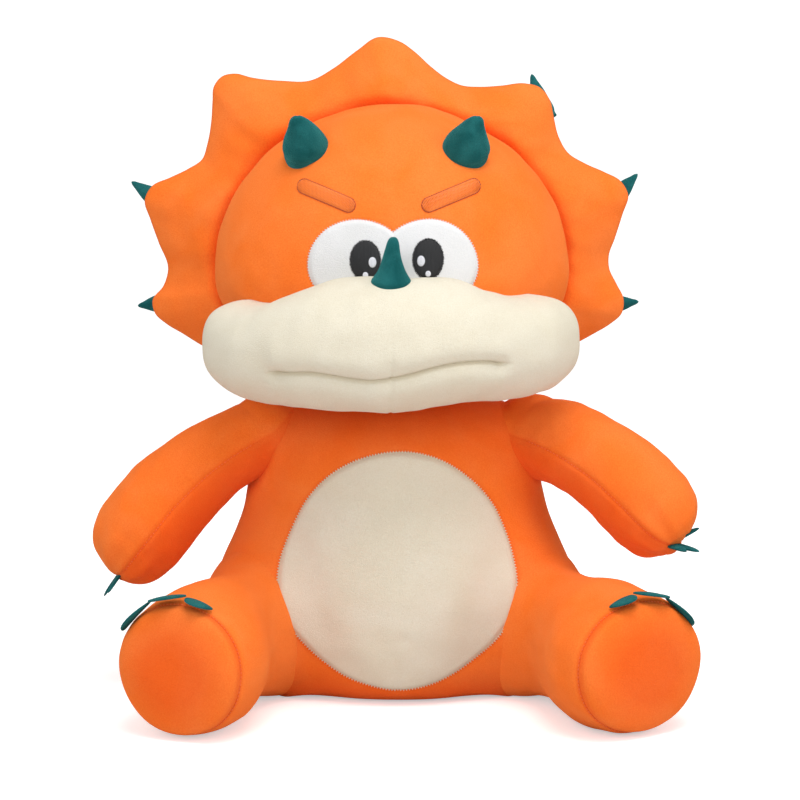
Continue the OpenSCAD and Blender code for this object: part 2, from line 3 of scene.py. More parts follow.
import bmesh
import bpy
import numpy as np
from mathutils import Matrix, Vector


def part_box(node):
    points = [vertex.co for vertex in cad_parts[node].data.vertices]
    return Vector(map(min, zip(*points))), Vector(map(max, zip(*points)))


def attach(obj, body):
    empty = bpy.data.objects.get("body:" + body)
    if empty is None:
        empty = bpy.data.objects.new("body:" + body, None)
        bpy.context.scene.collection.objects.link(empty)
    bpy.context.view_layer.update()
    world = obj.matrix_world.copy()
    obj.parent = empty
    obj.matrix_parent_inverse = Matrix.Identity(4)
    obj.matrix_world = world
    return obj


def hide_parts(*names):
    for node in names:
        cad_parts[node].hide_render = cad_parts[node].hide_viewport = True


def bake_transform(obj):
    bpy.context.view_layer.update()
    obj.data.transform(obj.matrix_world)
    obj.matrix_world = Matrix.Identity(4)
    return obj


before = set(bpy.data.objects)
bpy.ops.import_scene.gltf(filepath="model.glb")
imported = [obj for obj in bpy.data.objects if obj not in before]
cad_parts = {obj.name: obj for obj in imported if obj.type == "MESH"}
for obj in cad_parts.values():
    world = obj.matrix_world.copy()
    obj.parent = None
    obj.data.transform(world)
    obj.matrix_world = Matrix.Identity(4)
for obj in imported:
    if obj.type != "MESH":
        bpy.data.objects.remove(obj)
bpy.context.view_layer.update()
bpy.context.scene.view_settings.view_transform = "Standard"
print("frame loaded:", len(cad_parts), "nodes")

mm = 0.001  # shapes are worked out in millimetres


# ---- materials ----

finishes = dict(
    orange=(0.985, 0.49, 0.17), orangeDeep=(0.90, 0.26, 0.05), orangeLight=(1.0, 0.63, 0.36),
    cream=(0.875, 0.85, 0.775), creamDeep=(0.80, 0.74, 0.62), creamLight=(0.91, 0.90, 0.85),
    white=(0.87, 0.87, 0.87), whiteDeep=(0.80, 0.81, 0.83), whiteLight=(0.95, 0.95, 0.96),
    teal=(0.045, 0.33, 0.335), tealDeep=(0.02, 0.20, 0.21), tealLight=(0.30, 0.68, 0.68),
)


def linear(colour):
    # screen colour to light: ((c + 0.055) / 1.055) ^ 2.4 above 0.04, c / 12.92 below
    c = np.array(colour, float)
    c = np.where(c > 0.04045, ((c + 0.055) / 1.055) ** 2.4, c / 12.92)
    return (*c.tolist(), 1.0)


def newGroup(name, inputs, outputs):
    group = bpy.data.node_groups.new(name, "ShaderNodeTree")
    for label, kind, value in inputs:
        socket = group.interface.new_socket(name=label, in_out="INPUT", socket_type=kind)
        socket.default_value = value
    for label, kind in outputs:
        group.interface.new_socket(name=label, in_out="OUTPUT", socket_type=kind)
    return group, group.nodes.new("NodeGroupInput"), group.nodes.new("NodeGroupOutput")


def addNode(tree, kind, **settings):
    node = tree.nodes.new(kind)
    for key, value in settings.items():
        setattr(node, key, value)
    return node


def mathNode(tree, operation, a, b):
    # a and b are sockets or numbers
    node = addNode(tree, "ShaderNodeMath", operation=operation)
    for socket, value in zip(node.inputs, (a, b)):
        if isinstance(value, (int, float)):
            socket.default_value = value
        else:
            tree.links.new(value, socket)
    return node.outputs[0]


def mixColour(tree, factor, a, b):
    node = addNode(tree, "ShaderNodeMix", data_type="RGBA")
    for index, value in ((0, factor), (6, a), (7, b)):
        if isinstance(value, (int, float, tuple)):
            node.inputs[index].default_value = value
        else:
            tree.links.new(value, node.inputs[index])
    return node.outputs[2]


def stretch(tree, value, low, high, toLow=0.0, toHigh=1.0):
    node = addNode(tree, "ShaderNodeMapRange")
    tree.links.new(value, node.inputs["Value"])
    for label, number in (("From Min", low), ("From Max", high), ("To Min", toLow), ("To Max", toHigh)):
        node.inputs[label].default_value = number
    return node.outputs["Result"]


def makePileGroup():
    # short pile: fine grain for the tips of the fibres, broad soft patches where the nap lies another way
    group, inside, outside = newGroup(
        "pile",
        [("Grain Scale", "NodeSocketFloat", 900.0), ("Nap Scale", "NodeSocketFloat", 16.0)],
        [("Height", "NodeSocketFloat"), ("Fleck", "NodeSocketFloat"), ("Nap", "NodeSocketFloat")],
    )
    place = addNode(group, "ShaderNodeTexCoord").outputs["Object"]
    fine = addNode(group, "ShaderNodeTexNoise")
    fine.inputs["Detail"].default_value = 3.0
    fine.inputs["Roughness"].default_value = 0.65
    group.links.new(place, fine.inputs["Vector"])
    group.links.new(inside.outputs["Grain Scale"], fine.inputs["Scale"])
    tips = addNode(group, "ShaderNodeTexVoronoi")
    group.links.new(place, tips.inputs["Vector"])
    group.links.new(mathNode(group, "MULTIPLY", inside.outputs["Grain Scale"], 1.7), tips.inputs["Scale"])
    nap = addNode(group, "ShaderNodeTexNoise")
    nap.inputs["Detail"].default_value = 2.0
    nap.inputs["Distortion"].default_value = 0.8
    group.links.new(place, nap.inputs["Vector"])
    group.links.new(inside.outputs["Nap Scale"], nap.inputs["Scale"])
    height = mathNode(group, "SUBTRACT", fine.outputs["Fac"],
                      mathNode(group, "MULTIPLY", tips.outputs["Distance"], 0.5))
    group.links.new(height, outside.inputs["Height"])
    group.links.new(stretch(group, fine.outputs["Fac"], 0.32, 0.68), outside.inputs["Fleck"])
    group.links.new(stretch(group, nap.outputs["Fac"], 0.35, 0.65), outside.inputs["Nap"])
    return group


pileGroup = makePileGroup()


def plushMaterial(name, base, deep, light, grain=820.0, nap=16.0, bump=0.45, flecks=0.30, sheen=0.35, patches=0.22):
    # base colour, deeper along seams and where shade is painted in, and where the nap turns away, lighter flecks at the
    # fibre tips
    material = bpy.data.materials.new(name)
    material.use_nodes = True
    tree = material.node_tree
    shader = tree.nodes["Principled BSDF"]
    pile = addNode(tree, "ShaderNodeGroup", node_tree=pileGroup)
    pile.inputs["Grain Scale"].default_value = grain
    pile.inputs["Nap Scale"].default_value = nap
    # this attribute darkens along seams and also holds painted shade: low on the body, the chest under the chin, under
    # the arms, the soles, the neck and the frill's crease by the head
    seam = addNode(tree, "ShaderNodeAttribute", attribute_name="seam")
    patchMask = mathNode(tree, "MULTIPLY", pile.outputs["Nap"], patches)
    colour = mixColour(tree, patchMask, linear(base), linear(light))
    fleckMask = mathNode(tree, "MULTIPLY", pile.outputs["Fleck"], flecks)
    colour = mixColour(tree, fleckMask, colour, linear(deep))
    colour = mixColour(tree, mathNode(tree, "MULTIPLY", seam.outputs["Fac"], 0.75), colour, linear(deep))
    tree.links.new(colour, shader.inputs["Base Color"])
    tree.links.new(stretch(tree, pile.outputs["Fleck"], 0.0, 1.0, 0.82, 0.98), shader.inputs["Roughness"])
    bumpNode = addNode(tree, "ShaderNodeBump")
    bumpNode.inputs["Strength"].default_value = bump
    bumpNode.inputs["Distance"].default_value = 0.0014
    tree.links.new(pile.outputs["Height"], bumpNode.inputs["Height"])
    tree.links.new(bumpNode.outputs["Normal"], shader.inputs["Normal"])
    shader.inputs["Specular IOR Level"].default_value = 0.12
    shader.inputs["Sheen Weight"].default_value = sheen
    shader.inputs["Sheen Roughness"].default_value = 0.45
    shader.inputs["Sheen Tint"].default_value = linear(light)
    return material


def threadMaterial(name, base, deep, scale=260.0, bump=0.6, rough=0.5, sheen=0.15):
    # satin stitch: thin bright threads side by side, a wave across them
    material = bpy.data.materials.new(name)
    material.use_nodes = True
    tree = material.node_tree
    shader = tree.nodes["Principled BSDF"]
    place = addNode(tree, "ShaderNodeTexCoord").outputs["Object"]
    wave = addNode(tree, "ShaderNodeTexWave", bands_direction="X")
    wave.inputs["Scale"].default_value = scale
    wave.inputs["Distortion"].default_value = 1.5
    wave.inputs["Detail"].default_value = 2.0
    wave.inputs["Detail Scale"].default_value = 3.0
    tree.links.new(place, wave.inputs["Vector"])
    fuzz = addNode(tree, "ShaderNodeTexNoise")
    fuzz.inputs["Scale"].default_value = 1500.0
    tree.links.new(place, fuzz.inputs["Vector"])
    mask = mathNode(tree, "ADD", mathNode(tree, "MULTIPLY", wave.outputs["Fac"], 0.7),
                    mathNode(tree, "MULTIPLY", fuzz.outputs["Fac"], 0.3))
    tree.links.new(mixColour(tree, mask, linear(deep), linear(base)), shader.inputs["Base Color"])
    bumpNode = addNode(tree, "ShaderNodeBump")
    bumpNode.inputs["Strength"].default_value = bump
    bumpNode.inputs["Distance"].default_value = 0.0006
    tree.links.new(mask, bumpNode.inputs["Height"])
    tree.links.new(bumpNode.outputs["Normal"], shader.inputs["Normal"])
    tree.links.new(stretch(tree, fuzz.outputs["Fac"], 0.3, 0.7, rough - 0.1, rough + 0.15), shader.inputs["Roughness"])
    shader.inputs["Sheen Weight"].default_value = sheen
    return material


f = finishes
orangePlush = plushMaterial("orangePlush", f["orange"], f["orangeDeep"], f["orangeLight"])
creamPlush = plushMaterial("creamPlush", f["cream"], f["creamDeep"], f["creamLight"], sheen=0.2, patches=0.35)
whitePlush = plushMaterial("whitePlush", f["white"], f["whiteDeep"], f["whiteLight"], sheen=0.15)
tealVelour = plushMaterial("tealVelour", f["teal"], f["tealDeep"], f["tealLight"], grain=1100.0, nap=40.0,
                           bump=0.6, flecks=0.45, sheen=0.6, patches=0.2)
tealFelt = plushMaterial("tealFelt", (0.06, 0.38, 0.39), f["tealDeep"], f["tealLight"], grain=1400.0, nap=60.0,
                         bump=0.8, flecks=0.5, sheen=0.4, patches=0.25)
blackThread = threadMaterial("blackThread", (0.075, 0.08, 0.10), (0.02, 0.02, 0.03), sheen=0.02)
whiteThread = threadMaterial("whiteThread", (0.95, 0.95, 0.97), (0.75, 0.76, 0.8))
goldThread = threadMaterial("goldThread", (0.96, 0.52, 0.10), (0.84, 0.36, 0.03), bump=0.4, rough=0.42)
rustThread = threadMaterial("rustThread", (0.78, 0.25, 0.06), (0.50, 0.12, 0.03))
orangeThread = threadMaterial("orangeThread", (1.0, 0.50, 0.20), (0.92, 0.30, 0.07))
creamThread = threadMaterial("creamThread", (0.95, 0.91, 0.83), (0.86, 0.78, 0.66))
tapeWeave = threadMaterial("tapeWeave", (0.94, 0.94, 0.95), (0.84, 0.84, 0.86), 420.0, bump=0.3)
print("materials made")


# ---- shape tools ----


def smoothTable(at, values, x):
    # a cubic between neighbouring points, with the slope at each taken from the line through its neighbours
    at, values, x = np.asarray(at, float), np.asarray(values, float), np.asarray(x, float)
    slope = np.gradient(values, at)
    k = np.clip(np.searchsorted(at, x) - 1, 0, len(at) - 2)
    h = at[k + 1] - at[k]
    t = np.clip((x - at[k]) / h, 0, 1)
    return (values[k] * (1 + 2 * t) * (1 - t) ** 2 + slope[k] * h * t * (1 - t) ** 2
            + values[k + 1] * t * t * (3 - 2 * t) + slope[k + 1] * h * t * t * (t - 1))


def smoothPath(points, count):
    # count points, evenly spaced by distance, on the smooth line through the given ones
    points = np.asarray(points, float)
    reach = np.concatenate([[0], np.cumsum(np.linalg.norm(np.diff(points, axis=0), axis=1))])
    at = np.linspace(0, reach[-1], count)
    return np.stack([smoothTable(reach, points[:, c], at) for c in range(points.shape[1])], -1)


def softNoise(points, size, seed, waves=9):
    # the mean of sine waves about one size long, in seeded directions
    rng = np.random.default_rng(seed)
    total = np.zeros(points.shape[:-1])
    for _ in range(waves):
        direction = rng.normal(size=3)
        direction *= rng.uniform(0.7, 1.5) * 2 * np.pi / size / np.linalg.norm(direction)
        total += np.sin(points @ direction + rng.uniform(0, 2 * np.pi))
    return total / math.sqrt(waves)


def bump(distance, width):
    # a bell, 1 where the distance is 0
    return np.exp(-((distance / width) ** 2))


def unit(vectors):
    return vectors / np.linalg.norm(vectors, axis=-1, keepdims=True)


def closed(line):
    # the line with its first point again at the end
    return np.concatenate([line, line[:1]])


def gridNormals(grid, centre):
    # the cross product of the steps round and along the grid, turned away from the centre
    across = np.roll(grid, -1, 1) - np.roll(grid, 1, 1)
    along = np.gradient(grid, axis=0)
    normal = np.cross(across, along)
    size = np.linalg.norm(normal, axis=-1, keepdims=True)
    outward = grid - np.asarray(centre, float)
    outward = outward / np.maximum(np.linalg.norm(outward, axis=-1, keepdims=True), 1e-9)
    normal = np.where(size > 1e-9, normal / np.maximum(size, 1e-9), outward)
    if (normal * outward).sum() < 0:
        normal = np.where(size > 1e-9, -normal, outward)
    return normal


def meshPiece(name, vertices, faces, material, seam=None):
    # vertices in millimetres; doubles are merged and the faces turned outwards
    mesh = bpy.data.meshes.new(name)
    mesh.from_pydata((np.asarray(vertices) * mm).tolist(), [], faces)
    # per point darkening along seams, with painted shade, stored for the plush material
    if seam is not None:
        layer = mesh.attributes.new("seam", "FLOAT", "POINT")
        layer.data.foreach_set("value", np.asarray(seam, np.float32).ravel())
    shape = bmesh.new()
    shape.from_mesh(mesh)
    bmesh.ops.remove_doubles(shape, verts=shape.verts, dist=2e-6)
    bmesh.ops.recalc_face_normals(shape, faces=shape.faces)
    shape.to_mesh(mesh)
    shape.free()
    mesh.polygons.foreach_set("use_smooth", np.ones(len(mesh.polygons), bool))
    mesh.update()
    piece = bpy.data.objects.new(name, mesh)
    bpy.context.scene.collection.objects.link(piece)
    mesh.materials.append(material)
    return piece


def tubeFaces(rows, cols, start=0):
    # the number of each point of a tube, of the next one round its ring, and the faces between the rings
    index = np.arange(rows * cols).reshape(rows, cols) + start
    turned = np.roll(index, -1, 1)
    return index, turned, np.stack([index[:-1], turned[:-1], turned[1:], index[1:]], -1).reshape(-1, 4)


def joinGrids(name, grids, material, seam=None):
    # tubes of rings as one mesh, each closed at both ends by a fan to the middle of its last ring
    vertices, faces, start = [], [], 0
    for grid in grids:
        rows, cols = grid.shape[:2]
        index, turned, quads = tubeFaces(rows, cols, start)
        faces += quads.tolist()
        for row, extra in ((0, 0), (rows - 1, 1)):
            faces += np.stack([index[row], turned[row], np.full(cols, start + rows * cols + extra)], -1).tolist()
        vertices += [grid.reshape(-1, 3), grid[0].mean(0)[None], grid[-1].mean(0)[None]]
        start += rows * cols + 2
    return meshPiece(name, np.concatenate(vertices), faces, material, seam)


def gridPiece(name, grid, material, seam=None):
    if seam is not None:
        seam = np.concatenate([seam.ravel(), [0, 0]])
    return joinGrids(name, [grid], material, seam)


def stitchPiece(name, centres, along, up, lengths, width, height, material):
    # one small bead for each stitch: its long axis lies along the seam, or across it
    rows, cols = 3, 6
    lat = np.linspace(-np.pi / 2, np.pi / 2, rows + 2)[1:-1, None]
    lon = np.linspace(0, 2 * np.pi, cols, endpoint=False)[None]
    body = np.stack([np.sin(lat) + 0 * lon, np.cos(lat) * np.cos(lon), np.cos(lat) * np.sin(lon)], -1).reshape(-1, 3)
    bead = np.concatenate([body, [[-1, 0, 0], [1, 0, 0]]])
    index, turned, quads = tubeFaces(rows, cols)
    tips = np.concatenate([
        np.stack([turned[0], index[0], np.full(cols, rows * cols)], -1),
        np.stack([index[-1], turned[-1], np.full(cols, rows * cols + 1)], -1),
    ])
    along = unit(along)
    side = np.cross(up, along)
    side = unit(side)
    up = np.cross(along, side)
    lengths = np.broadcast_to(np.asarray(lengths, float), len(centres))
    vertices = (
        centres[:, None]
        + bead[None, :, :1] * along[:, None] * lengths[:, None, None] / 2
        + bead[None, :, 1:2] * side[:, None] * width / 2
        + bead[None, :, 2:] * up[:, None] * height / 2
    ).reshape(-1, 3)
    step = (np.arange(len(centres)) * len(bead))[:, None, None]
    faces = (quads[None] + step).reshape(-1, 4).tolist() + (tips[None] + step).reshape(-1, 3).tolist()
    return meshPiece(name, vertices, faces, material)


def rideOn(piece, body, nodes=()):
    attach(piece, body)
    if nodes:
        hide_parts(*nodes)
    return piece


def bendOn(piece, nodes=()):
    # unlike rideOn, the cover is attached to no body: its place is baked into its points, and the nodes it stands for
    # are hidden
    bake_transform(piece)
    if nodes:
        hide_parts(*nodes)
    return piece


def evenly(line, pitch):
    # points, directions and share along a line, one for each pitch of its length
    reach = np.concatenate([[0], np.cumsum(np.linalg.norm(np.diff(line, axis=0), axis=1))])
    count = max(2, int(reach[-1] / pitch))
    at = (np.arange(count) + 0.5) * reach[-1] / count
    places = np.stack([np.interp(at, reach, line[:, c]) for c in range(3)], -1)
    ahead = np.stack([np.interp(at + 0.5, reach, line[:, c]) for c in range(3)], -1)
    behind = np.stack([np.interp(at - 0.5, reach, line[:, c]) for c in range(3)], -1)
    return places, ahead - behind, at / reach[-1]


def settle(points, floorZ=0.4, soft=3.0):
    # what would reach below the floor flattens on it: z becomes (z + sqrt(z^2 + soft^2)) / 2
    z = points[..., 2] - floorZ
    low = (z + np.sqrt(z * z + soft * soft)) / 2 + floorZ
    points = points.copy()
    points[..., 2] = np.where(z < 12, low, points[..., 2])
    return points


# ---- body, limbs and where they meet ----

torso = dict(
    outline=[(0.5, 0), (45, 0), (78, 0.2), (100, 0.8), (114, 4), (125, 12), (134, 26), (141.5, 48), (147.5, 78),
             (149, 104),
             (146.5, 130), (141, 158), (133.5, 186), (127.5, 210), (122, 230), (114, 246), (101, 259), (78, 269),
             (45, 274), (0.5, 275)],
    depth=0.787, bellyOut=5.0, rows=230, cols=300,
)
leg = dict(
    hip=(118, -45, 63), splay=dict(left=30.5, right=22.0), length=178.0, wide=dict(left=1.06, right=0.965),
    radii=[(-60, 0.5), (-59, 11), (-55, 24), (-47, 37), (-35, 48.5), (-20, 56.5), (0, 60), (20, 59), (38, 57),
           (58, 57), (80, 60), (104, 63), (130, 64.3), (154, 64), (168, 63), (178, 61)],
    join=66.0, rows=190, cols=200,
)
arm = dict(
    shoulder=(122, -20, 240), drop=dict(left=30.5, right=42.5), fore=dict(left=33.0, right=15.0), length=142.0,
    reach=dict(left=0.93, right=0.99), swell=dict(left=4.0, right=-1.0), bow=17.0,
    radii=[(-33, 1), (-31, 13), (-24, 24), (-12, 31.5), (0, 34), (20, 35), (45, 36.5), (75, 39.5), (105, 42), (132, 43),
           (155, 41), (170, 36.5), (181, 28.5), (187, 20), (190.5, 11), (191.5, 1)],
    join=20.0, root=35.0, rows=170, cols=140,
)
tail = dict(at=(0, 88, 52), root=42.0, join=34.0)
seamStitch = dict(pitch=3.4, length=2.3, thick=0.8)
patch = dict(centre=(1.0, 123.7), half=(100.5, 107.0), lift=1.9, rim=7.0, teeth=2.65)


def torsoHalf(z):
    # half width at height z
    table = np.array(torso["outline"])[2:-2]
    return smoothTable(table[:, 1], table[:, 0], np.clip(z, 0.2, 269))


def innerShare(along):
    # the thigh is thinner on its inner side, beside the belly, and full at the foot
    t = np.clip((along - 62) / 90, 0, 1)
    return 0.66 + 0.34 * t * t * (3 - 2 * t)


def legPlace(side, along, out=0.0, up=0.0):
    # a point beside the leg's line, which runs forwards from the hip and turns out by the splay
    out = np.where(out < 0, out * innerShare(along), out)
    up = np.where(up > 0, up * (1 - 0.07 * np.clip((along - 125) / 50, 0, 1)), up)
    turn = math.radians(leg["splay"][side])
    s = 1 if side == "left" else -1
    x, y, z = leg["hip"]
    return np.stack([
        s * (x + along * math.sin(turn) + out * math.cos(turn)),
        y - along * math.cos(turn) + out * math.sin(turn),
        z + up + 0 * along,
    ], -1)


def legGap(points, side):
    # distance from the leg's skin: distance from its line less the radius there
    turn = math.radians(leg["splay"][side])
    s = 1 if side == "left" else -1
    x, y, z = points[..., 0] * s - leg["hip"][0], points[..., 1] - leg["hip"][1], points[..., 2] - leg["hip"][2]
    along = x * math.sin(turn) - y * math.cos(turn)
    out = x * math.cos(turn) + y * math.sin(turn)
    out = np.where(out < 0, out / innerShare(along), out)
    table = np.array(leg["radii"])[6:]
    radius = smoothTable(table[:, 0], table[:, 1], np.clip(along, 0, leg["length"]))
    return np.sqrt(np.minimum(along, 0) ** 2 + out ** 2 + z ** 2) - radius


def armPlace(side, along, out=0.0, up=0.0):
    # a point beside the arm's line, which bows upwards between the shoulder and the hand
    drop, fore = math.radians(arm["drop"][side]), math.radians(arm["fore"][side])
    s = 1 if side == "left" else -1
    x = along * math.cos(drop) + up * math.sin(drop)
    z = -along * math.sin(drop) + up * math.cos(drop)
    return np.stack([
        s * (arm["shoulder"][0] + x * math.cos(fore) + out * math.sin(fore)),
        arm["shoulder"][1] - x * math.sin(fore) + out * math.cos(fore),
        arm["shoulder"][2] + z,
    ], -1)


def armGap(points, side):
    drop, fore = math.radians(arm["drop"][side]), math.radians(arm["fore"][side])
    s = 1 if side == "left" else -1
    x, y, z = (points[..., 0] * s - arm["shoulder"][0], points[..., 1] - arm["shoulder"][1],
               points[..., 2] - arm["shoulder"][2])
    ahead = x * math.cos(fore) - y * math.sin(fore)
    out = x * math.sin(fore) + y * math.cos(fore)
    along = ahead * math.cos(drop) - z * math.sin(drop)
    up = ahead * math.sin(drop) + z * math.cos(drop)
    return np.sqrt(np.minimum(along, 0) ** 2 + out ** 2 + up ** 2) - arm["root"]


def tailGap(points):
    offset = points - np.array(tail["at"])
    return np.sqrt(np.minimum(offset[..., 1], 0) ** 2 + offset[..., 0] ** 2 + offset[..., 2] ** 2) - tail["root"]


def torsoGap(points):
    # distance from the plain body: along the line from its axis, how far past the oval ring
    half = torsoHalf(points[..., 2])
    flat = np.hypot(points[..., 0], points[..., 1] / torso["depth"])
    return np.hypot(points[..., 0], points[..., 1]) * (1 - half / np.maximum(flat, 1e-6))


def fillet(gap, join):
    # how much two stuffed pieces swell towards each other: join / 4 * (1 - |gap| / join)^2
    return join / 4 * np.clip(1 - np.abs(gap) / join, 0, None) ** 2


def patchGap(x, z):
    # about how far a point of the front lies outside the belly patch's edge
    u, v = (x - patch["centre"][0]) / patch["half"][0], (z - patch["centre"][1]) / patch["half"][1]
    return (np.hypot(u, v) - 1) * patch["half"][1]


def torsoSkin(points, normals):
    # the plain body, swollen where limbs join, pulled in along their seams and round the belly patch
    lift = np.zeros(points.shape[:-1])
    seam = np.zeros(points.shape[:-1])
    for side in ("left", "right"):
        for gap, join, depth in ((legGap(points, side), leg["join"], 1.6), (armGap(points, side), arm["join"], 0.8)):
            lift += fillet(gap, join) - depth * bump(gap, 3.0)
            seam = np.maximum(seam, (0.45 if depth < 1 else 0.8) * bump(gap, 3.0))
    gap = tailGap(points)
    lift += fillet(gap, tail["join"]) - 1.5 * bump(gap, 3.0)
    front = points[..., 1] < 0
    edge = patchGap(points[..., 0], points[..., 2])
    lift += torso["bellyOut"] * bump(np.where(front, np.maximum(edge + 60, 0), 200), 75)
    lift += np.where(front, -1.3 * bump(edge, 2.6), 0)
    seam = np.maximum(seam, np.where(front, 0.45 * bump(edge, 2.5), 0))
    back = (points[..., 1] > 0) & (points[..., 2] > 12)
    lift += np.where(back, -1.6 * bump(points[..., 0], 2.2), 0)
    seam = np.maximum(seam, np.where(back, 0.6 * bump(points[..., 0], 2.2), 0))
    z = points[..., 2]
    # painted shade: darker over the lowest 48 mm of the body near the floor and over the top of the chest under the
    # chin, a little at the top of the back, kept with the seam darkening
    low = np.clip((48 - z) / 40, 0, 1) ** 1.5
    chestShade = np.where(front, np.clip((z - 196) / 60, 0, 1), 0.2 * np.clip((z - 200) / 60, 0, 1))
    seam = np.maximum(seam, np.maximum(0.75 * low, 0.6 * chestShade))
    lift += 0.9 * softNoise(points, 95, 3) + 0.35 * softNoise(points, 34, 4)
    keep = np.clip(points[..., 2] / 10, 0, 1)
    return points + normals * (lift * keep)[..., None], seam


def seamStitches(name, places, ahead, up):
    # stitches that lie along a seam, half sunk in it
    return stitchPiece(name, places + up * 0.25, ahead, up, seamStitch["length"], seamStitch["thick"],
                       seamStitch["thick"],
                       orangeThread)


def makeTorso():
    # each ring: x = r sin a, y = -depth r cos a, with r and z from the outline
    rim = smoothPath(torso["outline"], torso["rows"])
    a = np.linspace(0, 2 * np.pi, torso["cols"], endpoint=False)[None]
    r, z = rim[:, :1], rim[:, 1:]
    plain = np.stack([r * np.sin(a), -torso["depth"] * r * np.cos(a), z + 0 * a], -1)
    skin, seam = torsoSkin(plain, gridNormals(plain, (0, 0, 130)))
    piece = gridPiece("bodyCover", settle(skin, 0.2, 0.6), orangePlush, seam)
    return rideOn(piece, "torso",
                  ("body_fill", "front_panel", "back_panel_left", "back_panel_right", "seat_panel"))


def frontOfTorso(x, z):
    # the skin of the front at x and z, with its outward direction
    def plainFront(px, pz):
        half = torsoHalf(pz)
        return np.stack([px, -torso["depth"] * np.sqrt(np.maximum(half ** 2 - px ** 2, 1)), pz], -1)
    base = plainFront(x, z)
    normal = np.cross(plainFront(x + 1, z) - base, plainFront(x, z + 1) - base)
    normal = unit(normal)
    skin, _ = torsoSkin(base, normal)
    return skin, normal


def makeBellyPatch():
    # shares of the patch's oval laid on the front; the cloth rises from its rim as 1 - (1 - d / rim)^2
    shares = np.concatenate([np.linspace(0.004, 0.9, 60), np.linspace(0.91, 1.0, 26)])[:, None]
    a = np.linspace(0, 2 * np.pi, 280, endpoint=False)[None]
    wobble = 1 + 0.004 * np.sin(3 * a + 1) + 0.003 * np.sin(7 * a)
    x = patch["centre"][0] + patch["half"][0] * shares * wobble * np.sin(a)
    z = patch["centre"][1] + patch["half"][1] * shares * wobble * np.cos(a)
    skin, normal = frontOfTorso(x, z)
    inside = np.clip((1 - shares) * patch["half"][1] / patch["rim"], 0, 1)
    rise = 0.5 + patch["lift"] * (1 - (1 - inside) ** 2)
    dimple = -1.3 * bump(np.hypot(x - 6, z - 66), 6.5) - 0.7 * bump(x - 1, 1.6) * np.clip((44 - z) / 20, 0, 1)
    outer = skin + normal * (rise + dimple)[..., None]
    inner = skin - normal * 1.2
    grid = np.concatenate([outer, inner[::-1]])
    seam = np.concatenate([0.5 * bump((1 - shares) * patch["half"][1], 2.2) + 0 * a, 0 * inner[..., 0]])
    piece = gridPiece("bellyPatch", grid, creamPlush, seam)
    rideOn(piece, "torso", ("belly_patch",))
    rim, ahead, share = evenly(closed(outer[-1]), patch["teeth"])
    turn = share * 2 * np.pi
    across = np.stack([np.sin(turn), 0 * turn, np.cos(turn)], -1)
    up = np.cross(ahead, across)
    up *= np.sign((up * [0, -1, 0]).sum(-1, keepdims=True))
    teeth = stitchPiece("bellyStitches", rim + unit(up) * 0.2, across, up,
                        2.6, 1.25, 1.1, creamThread)
    rideOn(teeth, "torso")


def makeLeg(side):
    # rings of radius r(u) along the leg, swollen towards the body; the sole closes the front ring with a low dome
    rim = smoothPath(leg["radii"], leg["rows"])
    phi = np.linspace(0, 2 * np.pi, leg["cols"], endpoint=False)[None]
    u, r = rim[:, :1], rim[:, 1:]
    wide = 1 + (leg["wide"][side] - 1) * np.clip(u / 100, 0, 1)
    plain = legPlace(side, u + 0 * phi, r * np.cos(phi) * wide, r * np.sin(phi))
    normal = gridNormals(plain, legPlace(side, 70))
    gap = torsoGap(plain)
    lift = fillet(gap, leg["join"]) - 1.6 * bump(gap, 3.0)
    lift += 0.8 * softNoise(plain, 80, 11) + 0.3 * softNoise(plain, 30, 12)
    lift -= 1.5 * bump(u - leg["length"], 3.0)
    seam = np.maximum(0.8 * bump(gap, 3.2), 0.55 * bump(u - leg["length"], 2.0) + 0 * phi)
    skin = settle(plain + normal * lift[..., None])
    piece = gridPiece("legCover" + side.title(), skin, orangePlush, seam)
    bendOn(piece,
           ("leg_fill_" + side, "leg_panel_" + side))
    dome = dict(out=18.0, rows=70)
    g = np.linspace(0, np.pi / 2, dome["rows"])[:, None]
    last = r[-1] - 0.4
    flat = np.sin(g) ** 0.8
    soleU = leg["length"] + dome["out"] * flat
    soleR = np.maximum(last * np.cos(g) ** 0.86, 0.05)
    wideEnd = leg["wide"][side]
    sole = legPlace(side, soleU + 0 * phi, soleR * np.cos(phi) * wideEnd, soleR * np.sin(phi))
    soleNormal = gridNormals(sole, legPlace(side, 120))
    edge = last - soleR
    soleLift = 0.7 * softNoise(sole, 60, 13) * np.clip(edge / 10, 0, 1) - 1.5 * bump(edge, 3.0)
    soleSkin = settle(sole + soleNormal * soleLift[..., None])
    inside = legPlace(side, leg["length"] - 4 + 0 * phi, (last - 3) * np.cos(phi) * wideEnd, (last - 3) * np.sin(phi))
    soleGrid = np.concatenate([settle(inside), soleSkin])
    # painted shade: the sole darker inwards from its rim, and a little darker all over, kept with the rim seam
    soleShade = 0.5 * np.clip((edge - 4) / 30, 0, 1) + 0.12
    soleSeamAndShade = np.concatenate([0 * phi, np.maximum(0.5 * bump(edge, 2.0), soleShade) + 0 * phi])
    rideOn(gridPiece("soleCover" + side.title(), soleGrid, orangePlush, soleSeamAndShade), "leg_" + side,
           ("sole_" + side,))
    ring = (skin[-1] + soleSkin[0]) / 2
    places, ahead, _ = evenly(closed(ring), seamStitch["pitch"])
    middle = ring.mean(0)
    up = places - middle
    up = unit(up)
    stitches = seamStitches("soleStitches" + side.title(), places, ahead, up)
    rideOn(stitches, "leg_" + side)


